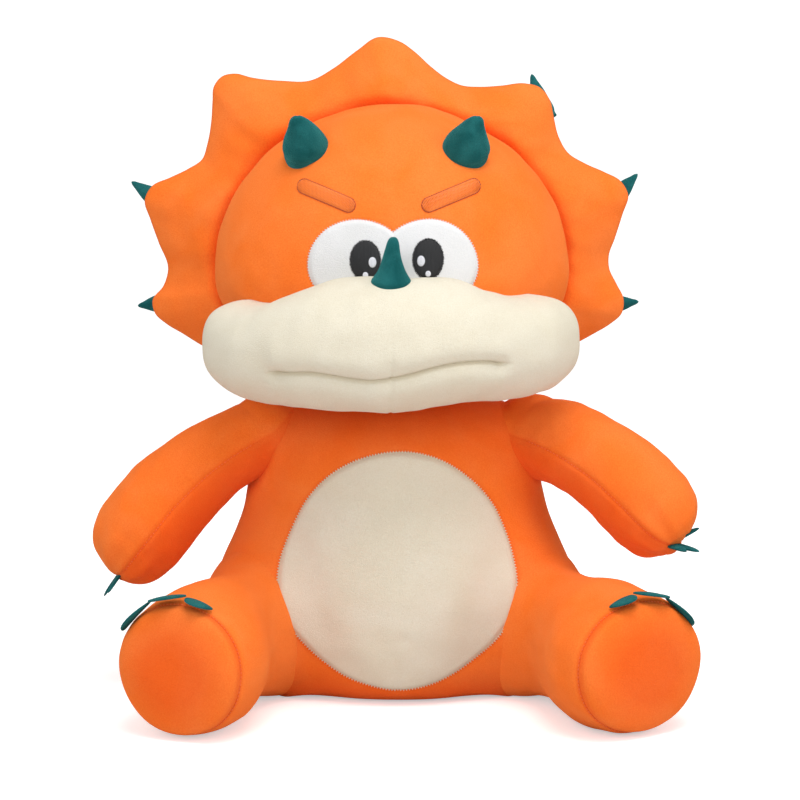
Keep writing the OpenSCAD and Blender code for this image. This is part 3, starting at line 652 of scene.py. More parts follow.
def makeArm(side):
    # rings of radius r(u) round a bowed line; two cloths meet in a seam that runs along the front and the back
    rim = smoothPath(arm["radii"], arm["rows"])
    phi = np.linspace(0, 2 * np.pi, arm["cols"], endpoint=False)[None]
    u, r = rim[:, :1], rim[:, 1:]
    u = np.where(u > 20, 20 + (u - 20) * arm["reach"][side], u)
    t = np.clip(u / (arm["length"] * 1.056 * arm["reach"][side]), 0, 1.275)
    bow = 4 * arm["bow"] * (t / 1.275) * (1 - t / 1.275)
    lean = np.arctan(np.gradient(bow[:, 0], np.maximum(u[:, 0], -1) + 1e-3 * np.arange(len(u))))[:, None]
    lean = lean * np.clip((u + 4) / 44, 0, 1) ** 1.5
    r = r + arm["swell"][side] * bump(u - 26, 34)
    out = r * np.cos(phi)
    up = r * np.sin(phi)
    plain = armPlace(side, u - up * np.sin(lean) * 0.6, out, bow + up)
    normal = gridNormals(plain, armPlace(side, 80, up=12))
    gap = torsoGap(plain)
    lift = fillet(gap, arm["join"]) - 0.5 * bump(gap, 3.0)
    seamFront = np.abs(np.angle(np.exp(1j * (phi - np.pi)))) * r
    seamBack = np.abs(np.angle(np.exp(1j * phi))) * r
    near = np.minimum(seamFront, seamBack)
    lift = lift - 1.4 * bump(near, 2.2) * np.clip((u + 5) / 20, 0, 1)
    pucker = bump(u - 178 * arm["reach"][side], 26) * np.clip(r / 30, 0, 1)
    lift = lift + 0.9 * pucker * np.sin(phi * 9 + 1.5 * np.sin(phi * 2)) * np.clip((r - 6) / 20, 0, 1)
    lift = lift + 0.9 * softNoise(plain, 60, 21 if side == "left" else 22) + 0.3 * softNoise(plain, 24, 23)
    # painted shade: the underside of the arm darker, and the whole arm a little darker, kept with the seam darkening
    lower = 0.5 - 0.5 * np.tanh(np.sin(phi) * r / 2.5)
    seam = np.maximum(0.3 * bump(gap, 3.0), 0.6 * bump(near, 2.0))
    seam = np.maximum(seam, 0.12 + 0.5 * lower)
    skin = plain + normal * lift[..., None]
    piece = gridPiece("armCover" + side.title(), skin, orangePlush, seam)
    bendOn(piece,
           ("arm_fill_" + side, "arm_upper_panel_" + side, "arm_lower_panel_" + side))
    column = arm["cols"] // 2
    shown = (u[:, 0] > 18) & (u[:, 0] < 183 * arm["reach"][side])
    places, ahead, _ = evenly(skin[shown, column], seamStitch["pitch"])
    face = armPlace(side, 80, -40) - armPlace(side, 80)
    upward = np.broadcast_to(unit(face), places.shape)
    stitches = seamStitches("armStitches" + side.title(), places, ahead, upward)
    bendOn(stitches)


claws = dict(
    thick=3.2, hand=(15.0, 27.0), lean=dict(left=28.0, right=-8.0), rise=dict(left=-3.0, right=-2.0),
    fan=dict(left=((-30, 6, 0), (0, 5, -3), (38, 9, 30)), right=((-32, 7, 0), (0, 5, 0), (32, 7, 0))),
    toes=((-17, 26, 20), (12, 36, 20), (46, 38, 20)),
)


def clawGrid(root, ahead, side, up, width, length, curl, arch):
    # a leaf of doubled felt: half width w/2 (1 - v^1.7)^0.6 along v, boxy across, its tip bent by curl v^2
    v = np.linspace(0, 1, 44)[:, None]
    phi = np.linspace(0, 2 * np.pi, 48, endpoint=False)[None]
    half = width / 2 * np.maximum(1 - v ** 1.7, 0.0004) ** 0.6
    thick = claws["thick"] / 2 * np.maximum(1 - v ** 6, 0.02) ** 0.5
    c, s = np.cos(phi), np.sin(phi)
    across = half * np.sign(c) * np.abs(c) ** 0.7
    rise = thick * np.sign(s) * np.abs(s) ** 0.45 * (1 - 0.12 * np.abs(c))
    bend = curl * v ** 2 - arch * (across / (width / 2)) ** 2
    root, ahead, side, up = (np.asarray(q, float) for q in (root, ahead, side, up))
    return (root + (v * length + 0 * phi)[..., None] * ahead + across[..., None] * side + (rise + bend)[..., None] * up)


def makeToes(side):
    base = legPlace(side, 0)
    ahead = legPlace(side, 1) - base
    outward = legPlace(side, 0, 1) - base
    for label, (turn, width, length) in zip(("inner", "middle", "outer"), claws["toes"]):
        a = math.radians(turn)
        up = outward * math.sin(a) + np.array([0, 0, 1.0]) * math.cos(a)
        across = outward * math.cos(a) - np.array([0, 0, 1.0]) * math.sin(a)
        radius = 60.5 if label != "middle" else 61.5
        root = legPlace(side, leg["length"] - 3) + up * radius
        toward = np.array([ahead[0] * 0.45, ahead[1], 0.10])
        toward = unit(toward)
        forward = toward - across * (toward @ across)
        forward = unit(forward)
        grid = clawGrid(root, forward, across, np.cross(across, forward) * np.sign(np.cross(across, forward) @ up),
                        width, length,
                        dict(inner=-0.5, middle=0.5, outer=0.5)[label], 1.0)
        piece = gridPiece(f"toeClaw{label.title()}{side.title()}", grid, tealFelt)
        rideOn(piece, "leg_" + side, (f"toe_{label}_{side}",))


def makeHandClaws(side):
    # three leaves from the end of the seam: their fan opens front to back
    base = armPlace(side, 0)
    ahead = armPlace(side, 1) - base
    up = armPlace(side, 0, up=1) - base
    lean = math.radians(claws["lean"][side])
    forward = ahead * math.cos(lean) + up * math.sin(lean)
    depth = np.array([0, 1.0, 0]) - forward * forward[1]
    depth = unit(depth)
    normal = np.cross(forward, depth)
    normal *= np.sign(normal @ up)
    end = base + ahead * (20 + 171 * arm["reach"][side]) + up * claws["rise"][side]
    grids = []
    for turn, back, lift in claws["fan"][side]:
        a, b = math.radians(turn), math.radians(lift)
        direction = (forward * math.cos(a) + depth * math.sin(a)) * math.cos(b) + normal * math.sin(b)
        across = depth * math.cos(a) - forward * math.sin(a)
        root = end - ahead * back + depth * 9 * math.sin(a)
        grids.append(clawGrid(root, direction, across,
                              np.cross(across, direction) * np.sign(np.cross(across, direction) @ normal),
                              *claws["hand"], -1.5, 0.8))
    rideOn(joinGrids("handClaws" + side.title(), grids, tealFelt), "arm_" + side, ("hand_claws_" + side,))


def makeTail():
    # rings round a line that droops backwards; each half of the cover is sewn along the top and underneath
    rows = [(-42, 0.5, 0), (-40, 13, 0), (-33, 26, 0), (-21, 36.5, 0), (0, 42, 0), (14, 40.5, -1), (30, 37.5, -3),
            (58, 32.5, -8),
            (87, 27.5, -16.5), (113, 20.5, -25), (132, 12.5, -32), (142, 5, -36), (144.5, 0.5, -37)]
    rim = smoothPath(rows, 130)
    phi = np.linspace(0, 2 * np.pi, 120, endpoint=False)[None]
    u, r, drop = rim[:, :1], rim[:, 1:2], rim[:, 2:]
    x, y, z = tail["at"]
    plain = np.stack([x + r * np.cos(phi), y + u + 0 * phi, z + drop + r * np.sin(phi)], -1)
    normal = gridNormals(plain, (x, y + 40, z - 8))
    gap = torsoGap(plain)
    near = np.abs(plain[..., 0])
    lift = fillet(gap, tail["join"]) - 1.5 * bump(gap, 3.0) - 1.2 * bump(near, 2.0) + 0.6 * softNoise(plain, 45, 31)
    seam = np.maximum(bump(gap, 3.0), 0.6 * bump(near, 2.0))
    piece = gridPiece("tailCover", settle(plain + normal * lift[..., None], 1.5), orangePlush, seam)
    bendOn(piece,
           ("tail_fill", "tail_panel_left", "tail_panel_right"))


makeTorso()
makeBellyPatch()
for side in ("left", "right"):
    makeLeg(side)
    makeToes(side)
    makeArm(side)
    makeHandClaws(side)
makeTail()
print("body and limbs made")


# ---- head ----

head = dict(centre=(-5.0, 0.0, 385.0), half=(163.0, 130.0), up=152.0, down=100.0, seamY=29.0)
eyes = dict(centre=(-3.0, 399.0), lobe=44.6, apart=30.0, tall=0.92, low=0.78, rimY=-128, pupilX=27.0, pupilZ=405.5,
            pupil=(12.8, 16.8))
brow = dict(x=dict(left=52.4, right=-56.4), z=74.5, length=54.0, width=12.5, tilt=21.0, thread=1.25)


def headPlain(x, z):
    # front of the head's egg: y = -b sqrt(1 - u^2 - v^2)
    a, b = head["half"]
    u = (x - head["centre"][0]) / a
    rise = z - head["centre"][2]
    v = rise / np.where(rise >= 0, head["up"], head["down"])
    return np.stack([x, -b * np.sqrt(np.maximum(1 - u * u - v * v, 0.0025)), z], -1)


def headLumps(points):
    # a little unevenness of the stuffing, and a tuck round the eye patch
    edge = eyeGap(points[..., 0], points[..., 2])
    front = points[..., 1] < -40
    tuck = np.where(front, -0.9 * bump(edge, 2.4), 0)
    return 0.9 * softNoise(points, 110, 41) + 0.3 * softNoise(points, 36, 42) + tuck


def eyeRadius(a):
    # two overlapping round lobes: r = d |cos a| + sqrt(l^2 - d^2 sin^2 a), shallower below
    d, lobe = eyes["apart"], eyes["lobe"]
    r = d * np.abs(np.cos(a)) + np.sqrt(lobe ** 2 - (d * np.sin(a)) ** 2)
    return r, np.where(np.sin(a) < 0, eyes["low"], eyes["tall"])


def eyeGap(x, z):
    u, v = x - eyes["centre"][0], z - eyes["centre"][1]
    v = np.where(v < 0, v / eyes["low"], v / eyes["tall"])
    r, _ = eyeRadius(np.arctan2(v, u))
    return np.hypot(u, v) - r


def frontOfHead(x, z):
    base = headPlain(x, z)
    normal = np.cross(headPlain(x + 1, z) - base, headPlain(x, z + 1) - base)
    normal = unit(normal)
    return base + normal * headLumps(base)[..., None], normal


def headRings(f, inset=0.0):
    # rings round the Y axis: x = a cos f cos t, y = b sin f, z = c cos f sin t
    t = np.linspace(0, 2 * np.pi, 300, endpoint=False)[None]
    a, b = head["half"]
    c = np.where(np.sin(t) >= 0, head["up"], head["down"])
    x, y, z = head["centre"]
    return np.stack([x + (a - inset) * np.cos(f) * np.cos(t), y + (b - inset) * np.sin(f) + 0 * t,
                     z + (c - inset) * np.cos(f) * np.sin(t)], -1)


def makeHead():
    seamAt = math.asin(head["seamY"] / head["half"][1])
    for name, f, nodes in (
        ("faceCover", np.linspace(-np.pi / 2, seamAt, 200), ("head_fill", "face_panel")),
        ("headBackCover", np.linspace(seamAt, np.pi / 2, 130), ("head_back_panel",)),
    ):
        plain = headRings(f[:, None])
        normal = gridNormals(plain, head["centre"])
        fromSeam = np.abs(plain[..., 1] - head["seamY"])
        lift = headLumps(plain) - 2.0 * bump(fromSeam, 4.0)
        seam = bump(fromSeam, 6.0)
        if name == "headBackCover":
            lift = lift - 1.5 * bump(plain[..., 0] - head["centre"][0], 2.2)
            seam = np.maximum(seam, 0.6 * bump(plain[..., 0] - head["centre"][0], 2.2))
        piece = gridPiece(name, plain + normal * lift[..., None], orangePlush, seam)
        rideOn(piece, "head", nodes)


def makeNeck():
    # a short stuffed ball, mostly hidden between the chin and the chest
    f = np.linspace(-np.pi / 2, np.pi / 2, 70)[:, None]
    t = np.linspace(0, 2 * np.pi, 120, endpoint=False)[None]
    plain = np.stack([50 * np.cos(f) * np.cos(t), 50 * np.cos(f) * np.sin(t), 282 + 50 * np.sin(f) + 0 * t], -1)
    normal = gridNormals(plain, (0, 0, 282))
    lift = 0.8 * softNoise(plain, 30, 44) - 0.8 * (0.5 + 0.5 * np.sin(14 * t)) * bump(plain[..., 2] - 282, 22)
    # painted shade: the whole neck darkened by half, as it lies in shade under the chin
    piece = gridPiece("neckCover", plain + normal * lift[..., None], orangePlush, 0.5 + 0 * lift)
    rideOn(piece, "neck", ("neck_fill",))


def laidShape(shares, outline, centre, rise, sink=1.4):
    # an outline laid on the face: shares of it round a centre, raised by rise and closed behind
    x = centre[0] + shares * outline[0]
    z = centre[1] + shares * outline[1]
    skin, normal = frontOfHead(x, z)
    return np.concatenate([skin + normal * rise[..., None], (skin - normal * sink)[::-1]]), skin, normal


def rimStitches(name, rim, centre, pitch, sizes, material):
    # stitches that point across a patch's rim, away from its centre at x and z
    places, ahead, _ = evenly(closed(rim), pitch)
    up = np.cross(ahead, places - np.array([centre[0], eyes["rimY"], centre[1]]))
    up *= np.sign((up * [0, -1, 0]).sum(-1, keepdims=True))
    return stitchPiece(name, places, np.cross(up, ahead), up, *sizes, material)


def makeEyes():
    a = np.linspace(0, 2 * np.pi, 240, endpoint=False)[None]
    r, squash = eyeRadius(a)
    shares = np.concatenate([np.linspace(0.005, 0.9, 50), np.linspace(0.91, 1, 22)])[:, None]
    inside = np.clip((1 - shares) * r / 6.5, 0, 1)
    rise = 0.4 + 1.5 * (1 - (1 - inside) ** 2)
    grid, skin, normal = laidShape(shares, (r * np.cos(a), r * np.sin(a) * squash), eyes["centre"], rise)
    rideOn(gridPiece("eyePatch", grid, whitePlush), "head", ("eye_patch",))
    stitches = rimStitches("eyePatchStitches", skin[-1] + normal[-1] * 0.5, eyes["centre"], 2.5, (2.2, 1.1, 0.9),
                           whiteThread)
    rideOn(stitches, "head")
    glints = []
    for side, label in ((-1, "Right"), (1, "Left")):
        centre = (eyes["centre"][0] + 3 + side * eyes["pupilX"], eyes["pupilZ"] + 0.5 * side)
        ragged = 1 + 0.012 * np.sin(31 * a + side) + 0.010 * np.sin(53 * a)
        outline = (eyes["pupil"][0] * ragged * np.cos(a), eyes["pupil"][1] * ragged * np.sin(a))
        part = np.linspace(0.01, 1, 40)[:, None]
        rise = 1.8 + 1.5 * np.sqrt(np.maximum(1 - part ** 4, 0)) + 0 * a
        grid, skin, normal = laidShape(part, outline, centre, rise, 0.5)
        rideOn(gridPiece("pupil" + label, grid, blackThread), "head", ("pupil_" + label.lower(),))
        stitches = rimStitches("pupilStitches" + label, skin[-1] + normal[-1] * 2.0, centre, 1.5, (2.4, 1.3, 1.2),
                               blackThread)
        rideOn(stitches, "head")
        for size, dx, dz in (((3.4, 4.6), -side * 6.2, -1.5), ((2.4, 2.6), -side * 0.2, -12.4)):
            part = np.linspace(0.02, 1, 14)[:, None]
            t = a[:, ::5]
            rise = 3.1 + 0.9 * np.sqrt(np.maximum(1 - part ** 4, 0)) + 0 * t
            grid, _, _ = laidShape(part, (size[0] * np.cos(t), size[1] * np.sin(t)), (centre[0] + dx, centre[1] + dz),
                                   rise, -1.2)
            glints.append(grid)
    rideOn(joinGrids("eyeHighlights", glints, whiteThread), "head", ("eye_highlights",))


def makeBrow(side):
    # satin stitch: one thread across the bar every 1.25 mm, over a padded bar, with a thin stitched outline
    s = 1 if side == "left" else -1
    tilt = math.radians(s * brow["tilt"])
    centre = (head["centre"][0] + brow["x"][side], head["centre"][2] + brow["z"])
    straight = (brow["length"] - brow["width"]) / 2

    def turned(x, z):
        return x * math.cos(tilt) - z * math.sin(tilt), x * math.sin(tilt) + z * math.cos(tilt)

    a = np.linspace(0, 2 * np.pi, 240, endpoint=False)
    ends = np.stack([brow["width"] / 2 * np.cos(a) + np.sign(np.cos(a)) * straight, brow["width"] / 2 * np.sin(a)], -1)
    ends = closed(ends)
    run = np.concatenate([[0], np.cumsum(np.linalg.norm(np.diff(ends, axis=0), axis=1))])
    at = np.linspace(0, run[-1], 200, endpoint=False)
    bx, bz = np.interp(at, run, ends[:, 0])[None], np.interp(at, run, ends[:, 1])[None]
    a = at[None]
    part = np.linspace(0.01, 1, 24)[:, None]
    rise = 0.5 + 0.9 * np.sqrt(np.maximum(1 - part ** 4, 0)) + 0 * a
    grid, skin, normal = laidShape(part, turned(bx, bz), centre, rise, 1.0)
    piece = gridPiece("brow" + side.title(), grid, goldThread)
    rideOn(piece, "head", ("brow_" + side,))
    x = np.arange(-brow["length"] / 2 + 1.2, brow["length"] / 2 - 1.1, brow["thread"])
    reach = np.sqrt(np.maximum((brow["width"] / 2) ** 2 - np.maximum(np.abs(x) - straight, 0) ** 2, 1))
    tx, tz = turned(x, 0 * x)
    skinT, normalT = frontOfHead(centre[0] + tx, centre[1] + tz)
    upX, upZ = turned(np.zeros_like(x) + 0.06 * np.sin(5 * x), np.ones_like(x))
    across = np.stack([upX, 0 * upX, upZ], -1)
    across -= normalT * (across * normalT).sum(-1, keepdims=True)
    threads = stitchPiece("browThreads" + side.title(), skinT + normalT * 1.15, across, normalT, reach * 2,
                          brow["thread"] * 1.12,
                          1.5, goldThread)
    rideOn(threads, "head")
    rim = closed(skin[-1] + normal[-1] * 0.6)
    places, ahead, _ = evenly(rim, 2.3)
    _, normalR = frontOfHead(places[:, 0], places[:, 2])
    outline = stitchPiece("browOutline" + side.title(), places, ahead, normalR, 2.3, 1.0, 1.0, rustThread)
    rideOn(outline, "head")


muzzle = dict(
    centre=(-4.2, -45.0), arc=(130.0, 98.0), turn=86.0, out=(61.0, 49.0),
    top=[(-1, 372), (-0.9, 372), (-0.82, 370), (-0.72, 367), (-0.63, 367.2), (-0.55, 369.5), (-0.48, 375), (-0.4, 381),
         (-0.3, 387), (-0.2, 390.5), (-0.1, 391.5), (0, 391.5), (0.15, 391.7), (0.24, 391), (0.33, 387.5),
         (0.43, 380.5),
         (0.55, 374), (0.62, 372), (0.7, 372.5), (0.8, 375.5), (0.9, 377), (1, 377)],
    bottom=[(-1, 279), (-0.85, 276), (-0.6, 276.5), (-0.35, 276), (-0.12, 274), (0, 274.5), (0.15, 278), (0.4, 282),
            (0.65, 283),
            (0.85, 282), (1, 282)],
    mouth=[(-104, 310.5), (-97, 311.2), (-86, 312.3), (-70, 312.6), (-58, 311), (-40, 308), (-20, 306.8), (-4, 308.5),
           (12, 312.5),
           (32, 318), (50, 321.5), (70, 322.5), (82, 321.5), (89, 319.5)],
)


def makeMuzzle():
    # rings across an arc from cheek to cheek: c(s) + R cos t outwards + H sin t up, H taken above and below the middle
    s = np.linspace(-1, 1, 330)[:, None]
    t = np.linspace(0, 2 * np.pi, 300, endpoint=False)[None]
    turn = np.radians(muzzle["turn"]) * s
    ax, ay = muzzle["arc"]
    cx = muzzle["centre"][0] + ax * np.sin(turn)
    cy = muzzle["centre"][1] - ay * np.cos(turn)
    top = smoothTable(*np.array(muzzle["top"]).T, s)
    bottom = smoothTable(*np.array(muzzle["bottom"]).T, s)
    cz, high = (top + bottom) / 2, (top - bottom) / 2
    dx, dy = ax * np.cos(turn), ay * np.sin(turn)
    size = np.hypot(dx, dy)
    ox, oy = dy / size, -dx / size
    rounding = np.sqrt(np.maximum(1 - np.abs(s) ** 9, 0.0002))
    out = (muzzle["out"][0] + (muzzle["out"][1] - muzzle["out"][0]) * np.abs(s) ** 1.3) * rounding
    c, z = np.cos(t), np.sin(t)
    boxy = 0.96 - 0.26 * smoothTable(np.array([0, 0.45, 0.75, 0.9, 1]), np.array([0, 0.1, 1, 1, 0.8]), np.abs(s))
    boxy = np.where(z > 0, boxy, 0.97 - 0.05 * np.abs(s))
    plump = np.sign(z) * np.abs(z) ** boxy
    c = np.sign(c) * np.abs(c) ** boxy
    plain = np.stack([cx + ox * out * c, cy + oy * out * c, cz + high * rounding * plump], -1)
    normal = gridNormals(plain, (muzzle["centre"][0], -60, 332))
    mouth = np.array(muzzle["mouth"])
    x, zz = plain[..., 0], plain[..., 2]
    ahead = (c > 0.05) & (plain[..., 1] < -60)
    line = smoothTable(mouth[:, 0], mouth[:, 1], np.clip(x, mouth[0, 0], mouth[-1, 0]))
    past = np.maximum(np.maximum(mouth[0, 0] - x, x - mouth[-1, 0]), 0)
    below = np.where(zz < line, 1.0, 0.0)
    fade = np.exp(-((past / 7) ** 2))
    lift = np.where(ahead, -3.6 * bump(zz - line, 1.5) * fade - 2.7 * bump(zz - line, 7.0) * fade, 0)
    lift = lift + np.where(ahead, 1.8 * bump(zz - line - 14, 12) * fade + 1.5 * below * bump(zz - line + 14,
                                                                                             10) * fade, 0)
    for end in (mouth[0], mouth[-1]):
        lift = lift + np.where(ahead, -1.8 * bump(np.hypot((x - end[0]) / 1.3, zz - end[1]), 7.0), 0)
    lift = lift + np.where(ahead, -0.9 * bump(x + 4 - 0.02 * (zz - 330), 1.5) * np.clip((348 - zz) / 24, 0, 1), 0)
    lift = lift - np.where(ahead, 1.6 * bump(np.hypot(x + 6, zz - 320), 8), 0)
    lift = lift + 1.0 * softNoise(plain, 80, 51) + 0.35 * softNoise(plain, 30, 52)
    seam = np.where(ahead, 0.7 * bump(zz - line, 2.0) * fade, 0)
    skin = plain + normal * lift[..., None]
    piece = gridPiece("muzzleCover", skin, creamPlush, seam)
    rideOn(piece, "head", ("muzzle_fill", "muzzle_upper_panel", "muzzle_lower_panel"))


# corners and hollows of the frill's edge, from below one cheek over the top to below the other
frill = dict(
    edge=[(-168, 300), (-185, 308), (-205, 320.5), (-219, 329), (-230.5, 340), (-232.5, 352), (-222, 366),
          (-217.5, 382),
          (-226, 407), (-233.5, 429), (-238.5, 447), (-232, 460), (-214.5, 468.5), (-197, 477), (-184, 486),
          (-179, 500),
          (-175, 521), (-173.5, 540), (-172, 554), (-164, 563.5), (-152, 566), (-137, 562.5), (-108, 559.5), (-81, 560),
          (-60, 571), (-37, 588), (-18, 600), (3, 596), (17, 586.5), (32, 573), (47, 562), (61, 555.5), (79, 554),
          (98, 555),
          (121, 557), (135, 553), (144, 542), (148, 526), (153, 507), (162, 492), (178, 482), (197, 473.5),
          (211.5, 465.5),
          (219, 452), (214, 434), (207, 411), (201.5, 394), (202, 383), (209, 368), (216, 353), (214.5, 340),
          (203, 329),
          (189, 320.5), (174, 312), (158, 303)],
    lean=26.0, thick=17.0, valley=14.0, trim=1.9,
)


def makeFrill():
    # from the head's seam to the edge: q = in + (edge - in) s, its faces h(s) each side of a middle that leans back
    edge = smoothPath(frill["edge"], 460)
    cx, cy, cz = head["centre"]
    px, pz = edge[:, 0] - cx, edge[:, 1] - cz
    tuckIn = 1 - frill["trim"] / np.hypot(px, pz)
    px, pz = px * tuckIn, pz * tuckIn
    a = np.arctan2(pz, px)
    f = math.asin(head["seamY"] / head["half"][1])
    c = np.where(np.sin(a) >= 0, head["up"], head["down"])
    ring = math.cos(f) / np.sqrt((np.cos(a) / head["half"][0]) ** 2 + (np.sin(a) / c) ** 2) - 5
    ix, iz = ring * np.cos(a), ring * np.sin(a)
    reach = np.hypot(px - ix, pz - iz)
    front = np.concatenate([np.linspace(0, 0.94, 70), 0.94 + 0.06 * np.sin(np.linspace(0.05, np.pi / 2, 14))])
    s = np.concatenate([front, front[::-1][1:]])[None]
    face = np.concatenate([-np.ones(len(front)), np.ones(len(front) - 1)])[None]
    face[0, len(front) - 1] = 0
    qx = ix[:, None] + (px - ix)[:, None] * s
    qz = iz[:, None] + (pz - iz)[:, None] * s
    half = frill["thick"] * np.sqrt(np.maximum(1 - s ** 2.2, 0)) * (1 - 0.35 * s) + 0.9
    far = reach[:, None] * s
    valley = frill["valley"] * bump(far, 11) - 3.4 * bump(far - 27, 13) * (1 - s)
    where = np.stack([cx + qx, 0 * qx, cz + qz], -1)
    swell = np.clip(1 - s, 0, 1) ** 0.5 * np.clip(s * 4, 0, 1)
    wrinkle = 1.7 * softNoise(where, 70, 61) + 0.7 * softNoise(where, 28, 62)
    share = np.linspace(0, 1, len(edge))[:, None]
    folds = 0.0
    for at, depth in ((0.17, 1.0), (0.31, 1.3), (0.46, 1.7), (0.61, 1.8), (0.73, 1.3), (0.86, 1.0)):
        folds = folds - 1.4 * depth * bump((share - at) * 1300 / (60 - 30 * s),
                                           0.35) * np.sin(np.pi * np.clip(s, 0, 1)) ** 0.8
    y = cy + head["seamY"] + frill["lean"] * s ** 1.1 + face * (half - valley + (wrinkle + folds) * swell)
    grid = np.stack([cx + qx, y, cz + qz], -1)
    # darker along the seam at the head, spread 9 mm wide as painted shade in the crease beside the head; a thin dark
    # line along the rim seam at the edge
    seam = np.maximum(0.9 * bump(far, 9) + 0 * y, 0.35 * bump((1 - s) * reach[:, None], 1.4))
    piece = gridPiece("frill", grid, orangePlush, seam)
    rideOn(piece, "head", ("frill_padding", "frill_front_panel", "frill_back_panel"))


horns = dict(
    brow=[(-12, 17.5), (-5, 19.6), (0, 20.4), (5, 20.2), (10, 18.9), (16, 16.4), (22, 13.4), (27, 10.8), (31, 8.9),
          (34.4, 6.9),
          (36.4, 4.4), (37.4, 2.0), (37.6, 0.4)],
    nose=[(-8, 15), (-3, 17.6), (0, 18.2), (2.5, 17.6), (6, 15.2), (11, 12.0), (17, 9.6), (24, 7.6), (31, 6.0),
          (36, 4.9), (38.6, 3.8),
          (40.3, 2.2), (41, 0.4)],
    spike=[(-4, 12), (0, 12), (8, 10.8), (16, 8.8), (24, 6.2), (31, 3.6), (36, 1.8), (38, 0.3)],
)


def hornGrid(profile, root, ahead, bend=(0, 0, 0), pinch=0.0, seed=1, wide=1.0):
    # a stuffed cone: radius r(u) round a line that bends sideways by bend (u / length)^2
    rim = smoothPath(profile, 80)
    t = np.linspace(0, 2 * np.pi, 72, endpoint=False)[None]
    u, r = rim[:, :1], rim[:, 1:]
    ahead = unit(np.asarray(ahead, float))
    right = np.cross(ahead, (0, 1, 0))
    right = unit(right)
    back = np.cross(right, ahead)
    share = np.clip(u / rim[-1, 0], 0, 1)
    line = np.asarray(root, float) + u * ahead + share ** 2 * np.asarray(bend, float)
    flat = 1 - pinch * bump(share - 0.93, 0.12)
    grid = line[:, None] + (r * wide * np.cos(t))[..., None] * right + (r * flat * np.sin(t))[..., None] * back
    normal = gridNormals(grid, np.asarray(root, float) + ahead * 15)
    lift = 0.3 * softNoise(grid, 24, seed) * np.clip(r / 8, 0,
                                                     1) - 0.5 * bump(np.abs(np.angle(np.exp(1j * (t - np.pi / 2)))) * r, 1.1) * (share > 0.02)
    lift = lift - 0.8 * bump(u, 2.5)
    return grid + normal * lift[..., None]


def makeHorns():
    for side, s in (("left", 1), ("right", -1)):
        root, _ = frontOfHead(np.array([61.0 if s > 0 else -80.0]), np.array([497.0]))
        grid = hornGrid(horns["brow"], root[0], (0.06 * s, -0.60, 0.78), ((7.5 if s > 0 else -5.0), 0, 1.0), 0.2,
                        70 + s, 1.03)
        piece = gridPiece("browHorn" + side.title(), grid, tealVelour)
        rideOn(piece, "head", ("brow_horn_" + side,))
    nose = hornGrid(horns["nose"], (-4.5, -158.0, 387.5), (0.02, -0.12, 1.0), (1.0, 3.0, 0), 0.1, 77)
    rideOn(gridPiece("noseHorn", nose, tealVelour), "head", ("nose_horn",))


# each spike's root and tip, sewn to the back of the frill
spikes = dict(
    middle_right=((-219, 70, 442), (-251.5, 76, 461)), lower_right=((-212, 70, 350), (-247, 74, 343)),
    middle_left=((200, 70, 442), (228, 76, 468.5)), lower_left=((195, 70, 347), (230.5, 74, 347)),
    upper_left=((138, 71, 526), (127, 80, 562)), upper_right=((-146, 71, 520), (-158, 84, 548)),
    top=((-6, 71, 553), (-5, 84, 587)),
)


def makeSpikes():
    for name, (root, tip) in spikes.items():
        root, tip = np.array(root, float), np.array(tip, float)
        scale = np.linalg.norm(tip - root) / 38
        profile = [(u * scale, r) for u, r in horns["spike"]]
        grid = hornGrid(profile, root, tip - root, (0, 0, 2.0), 0.0, 80 + len(name))
        label = "".join(word.title() for word in name.split("_"))
        piece = gridPiece("spike" + label, grid, tealVelour)
        rideOn(piece, "head", ("spike_" + name,))


def makeLabel():
    # a blank woven tape folded in two, its ends caught in the back seam side
    low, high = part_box("care_label")
    middle = (np.array(low) + np.array(high)) / 2 / mm
    v = np.linspace(0, 2 * np.pi, 60, endpoint=False)[None]
    u = np.linspace(-14, 14, 24)[:, None]
    turn = math.radians(25)
    loop = np.stack([0 * v, np.sign(np.sin(v)) * np.abs(np.sin(v)) ** 0.7 * 0.8, 19.5 * np.cos(v)], -1)
    x = u + 0 * v
    y = loop[..., 1] + 1.2 * np.sin(loop[..., 2] / 11 + u / 14)
    z = loop[..., 2] + 0 * u
    grid = np.stack([middle[0] + x * math.cos(turn) - y * math.sin(turn),
                     middle[1] + x * math.sin(turn) + y * math.cos(turn),
                     middle[2] + z], -1)
    rideOn(gridPiece("careLabel", grid, tapeWeave), "torso", ("care_label",))


makeHead()
makeNeck()
makeMuzzle()
makeFrill()
makeEyes()
for side in ("left", "right"):
    makeBrow(side)
makeHorns()
makeSpikes()
makeLabel()
print("head and trimmings made")


# ---- floor, light and camera ----

studio = dict(aim=(0.003, 0.0, 0.2648), distance=2.3, lift=8.0, lens=111.6, worldLight=0.60)


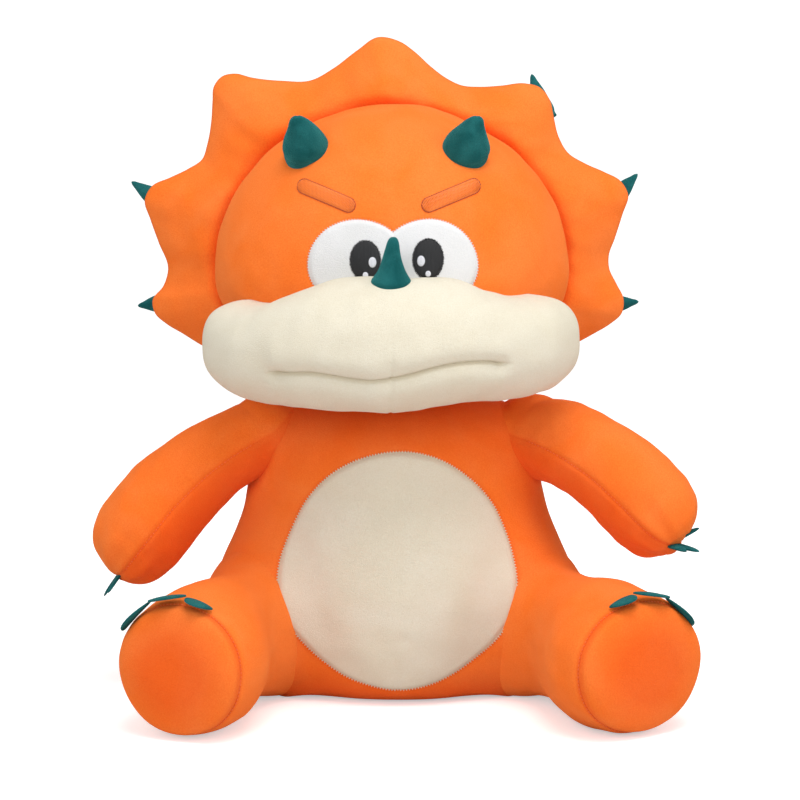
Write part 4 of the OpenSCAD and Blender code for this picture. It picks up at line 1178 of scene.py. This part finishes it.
def makeStage():
    # a pale floor that curves up behind: straight, a quarter circle, straight
    bend = np.linspace(0, np.pi / 2, 24)
    y = np.concatenate([[-5.0], 2.6 + 1.4 * np.sin(bend), [4.0]])
    z = np.concatenate([[0.0], 1.4 - 1.4 * np.cos(bend), [5.0]])
    x = np.array([-7.0, 7.0])
    vertices = np.stack([np.repeat(x[None], len(y), 0), np.repeat(y[:, None], 2, 1), np.repeat(z[:, None], 2, 1)], -1)
    index = np.arange(len(y) * 2).reshape(-1, 2)
    faces = np.stack([index[:-1, 0], index[:-1, 1], index[1:, 1], index[1:, 0]], -1).tolist()
    mesh = bpy.data.meshes.new("floor")
    mesh.from_pydata(vertices.reshape(-1, 3).tolist(), [], faces)
    mesh.polygons.foreach_set("use_smooth", np.ones(len(faces), bool))
    floor = bpy.data.objects.new("floor", mesh)
    bpy.context.scene.collection.objects.link(floor)
    paper = bpy.data.materials.new("paleFloor")
    paper.use_nodes = True
    shader = paper.node_tree.nodes["Principled BSDF"]
    shader.inputs["Roughness"].default_value = 0.9
    shader.inputs["Specular IOR Level"].default_value = 0.1
    shader.inputs["Emission Color"].default_value = (1, 1, 1, 1)
    ray = addNode(paper.node_tree, "ShaderNodeLightPath")
    paper.node_tree.links.new(mathNode(paper.node_tree, "MULTIPLY", ray.outputs["Is Camera Ray"], 0.46),
                              shader.inputs["Emission Strength"])
    paper.node_tree.links.new(mixColour(paper.node_tree, ray.outputs["Is Camera Ray"], (0.72, 0.70, 0.68, 1),
                                        (0.93, 0.93, 0.93, 1)),
                              shader.inputs["Base Color"])
    mesh.materials.append(paper)


def addLight(name, place, aim, size, power):
    lamp = bpy.data.lights.new(name, "AREA")
    lamp.shape = "RECTANGLE"
    lamp.size, lamp.size_y = size
    lamp.energy = power
    thing = bpy.data.objects.new(name, lamp)
    thing.location = place
    thing.rotation_euler = (Vector(aim) - Vector(place)).to_track_quat("-Z", "Y").to_euler()
    bpy.context.scene.collection.objects.link(thing)


def makeStudio():
    world = bpy.data.worlds.new("studio")
    bpy.context.scene.world = world
    world.use_nodes = True
    world.node_tree.nodes["Background"].inputs["Color"].default_value = (1, 1, 1, 1)
    world.node_tree.nodes["Background"].inputs["Strength"].default_value = studio["worldLight"]
    addLight("softTop", (0.3, -0.9, 2.4), (0, 0, 0.3), (1.5, 1.1), 31)
    addLight("softFront", (-1.1, -2.4, 1.2), (0, 0, 0.3), (1.4, 1.4), 17)
    addLight("softSide", (1.9, -1.3, 0.9), (0, 0, 0.3), (1.0, 1.6), 12)
    camera = bpy.data.cameras.new("camera")
    camera.lens = studio["lens"]
    camera.sensor_width = 36
    camera.clip_end = 50
    eye = bpy.data.objects.new("camera", camera)
    lift = math.radians(studio["lift"])
    aim = Vector(studio["aim"])
    eye.location = aim + Vector((0, -math.cos(lift), math.sin(lift))) * studio["distance"]
    eye.rotation_euler = (aim - eye.location).to_track_quat("-Z", "Y").to_euler()
    bpy.context.scene.collection.objects.link(eye)
    bpy.context.scene.camera = eye


makeStage()
makeStudio()
print("stage made")
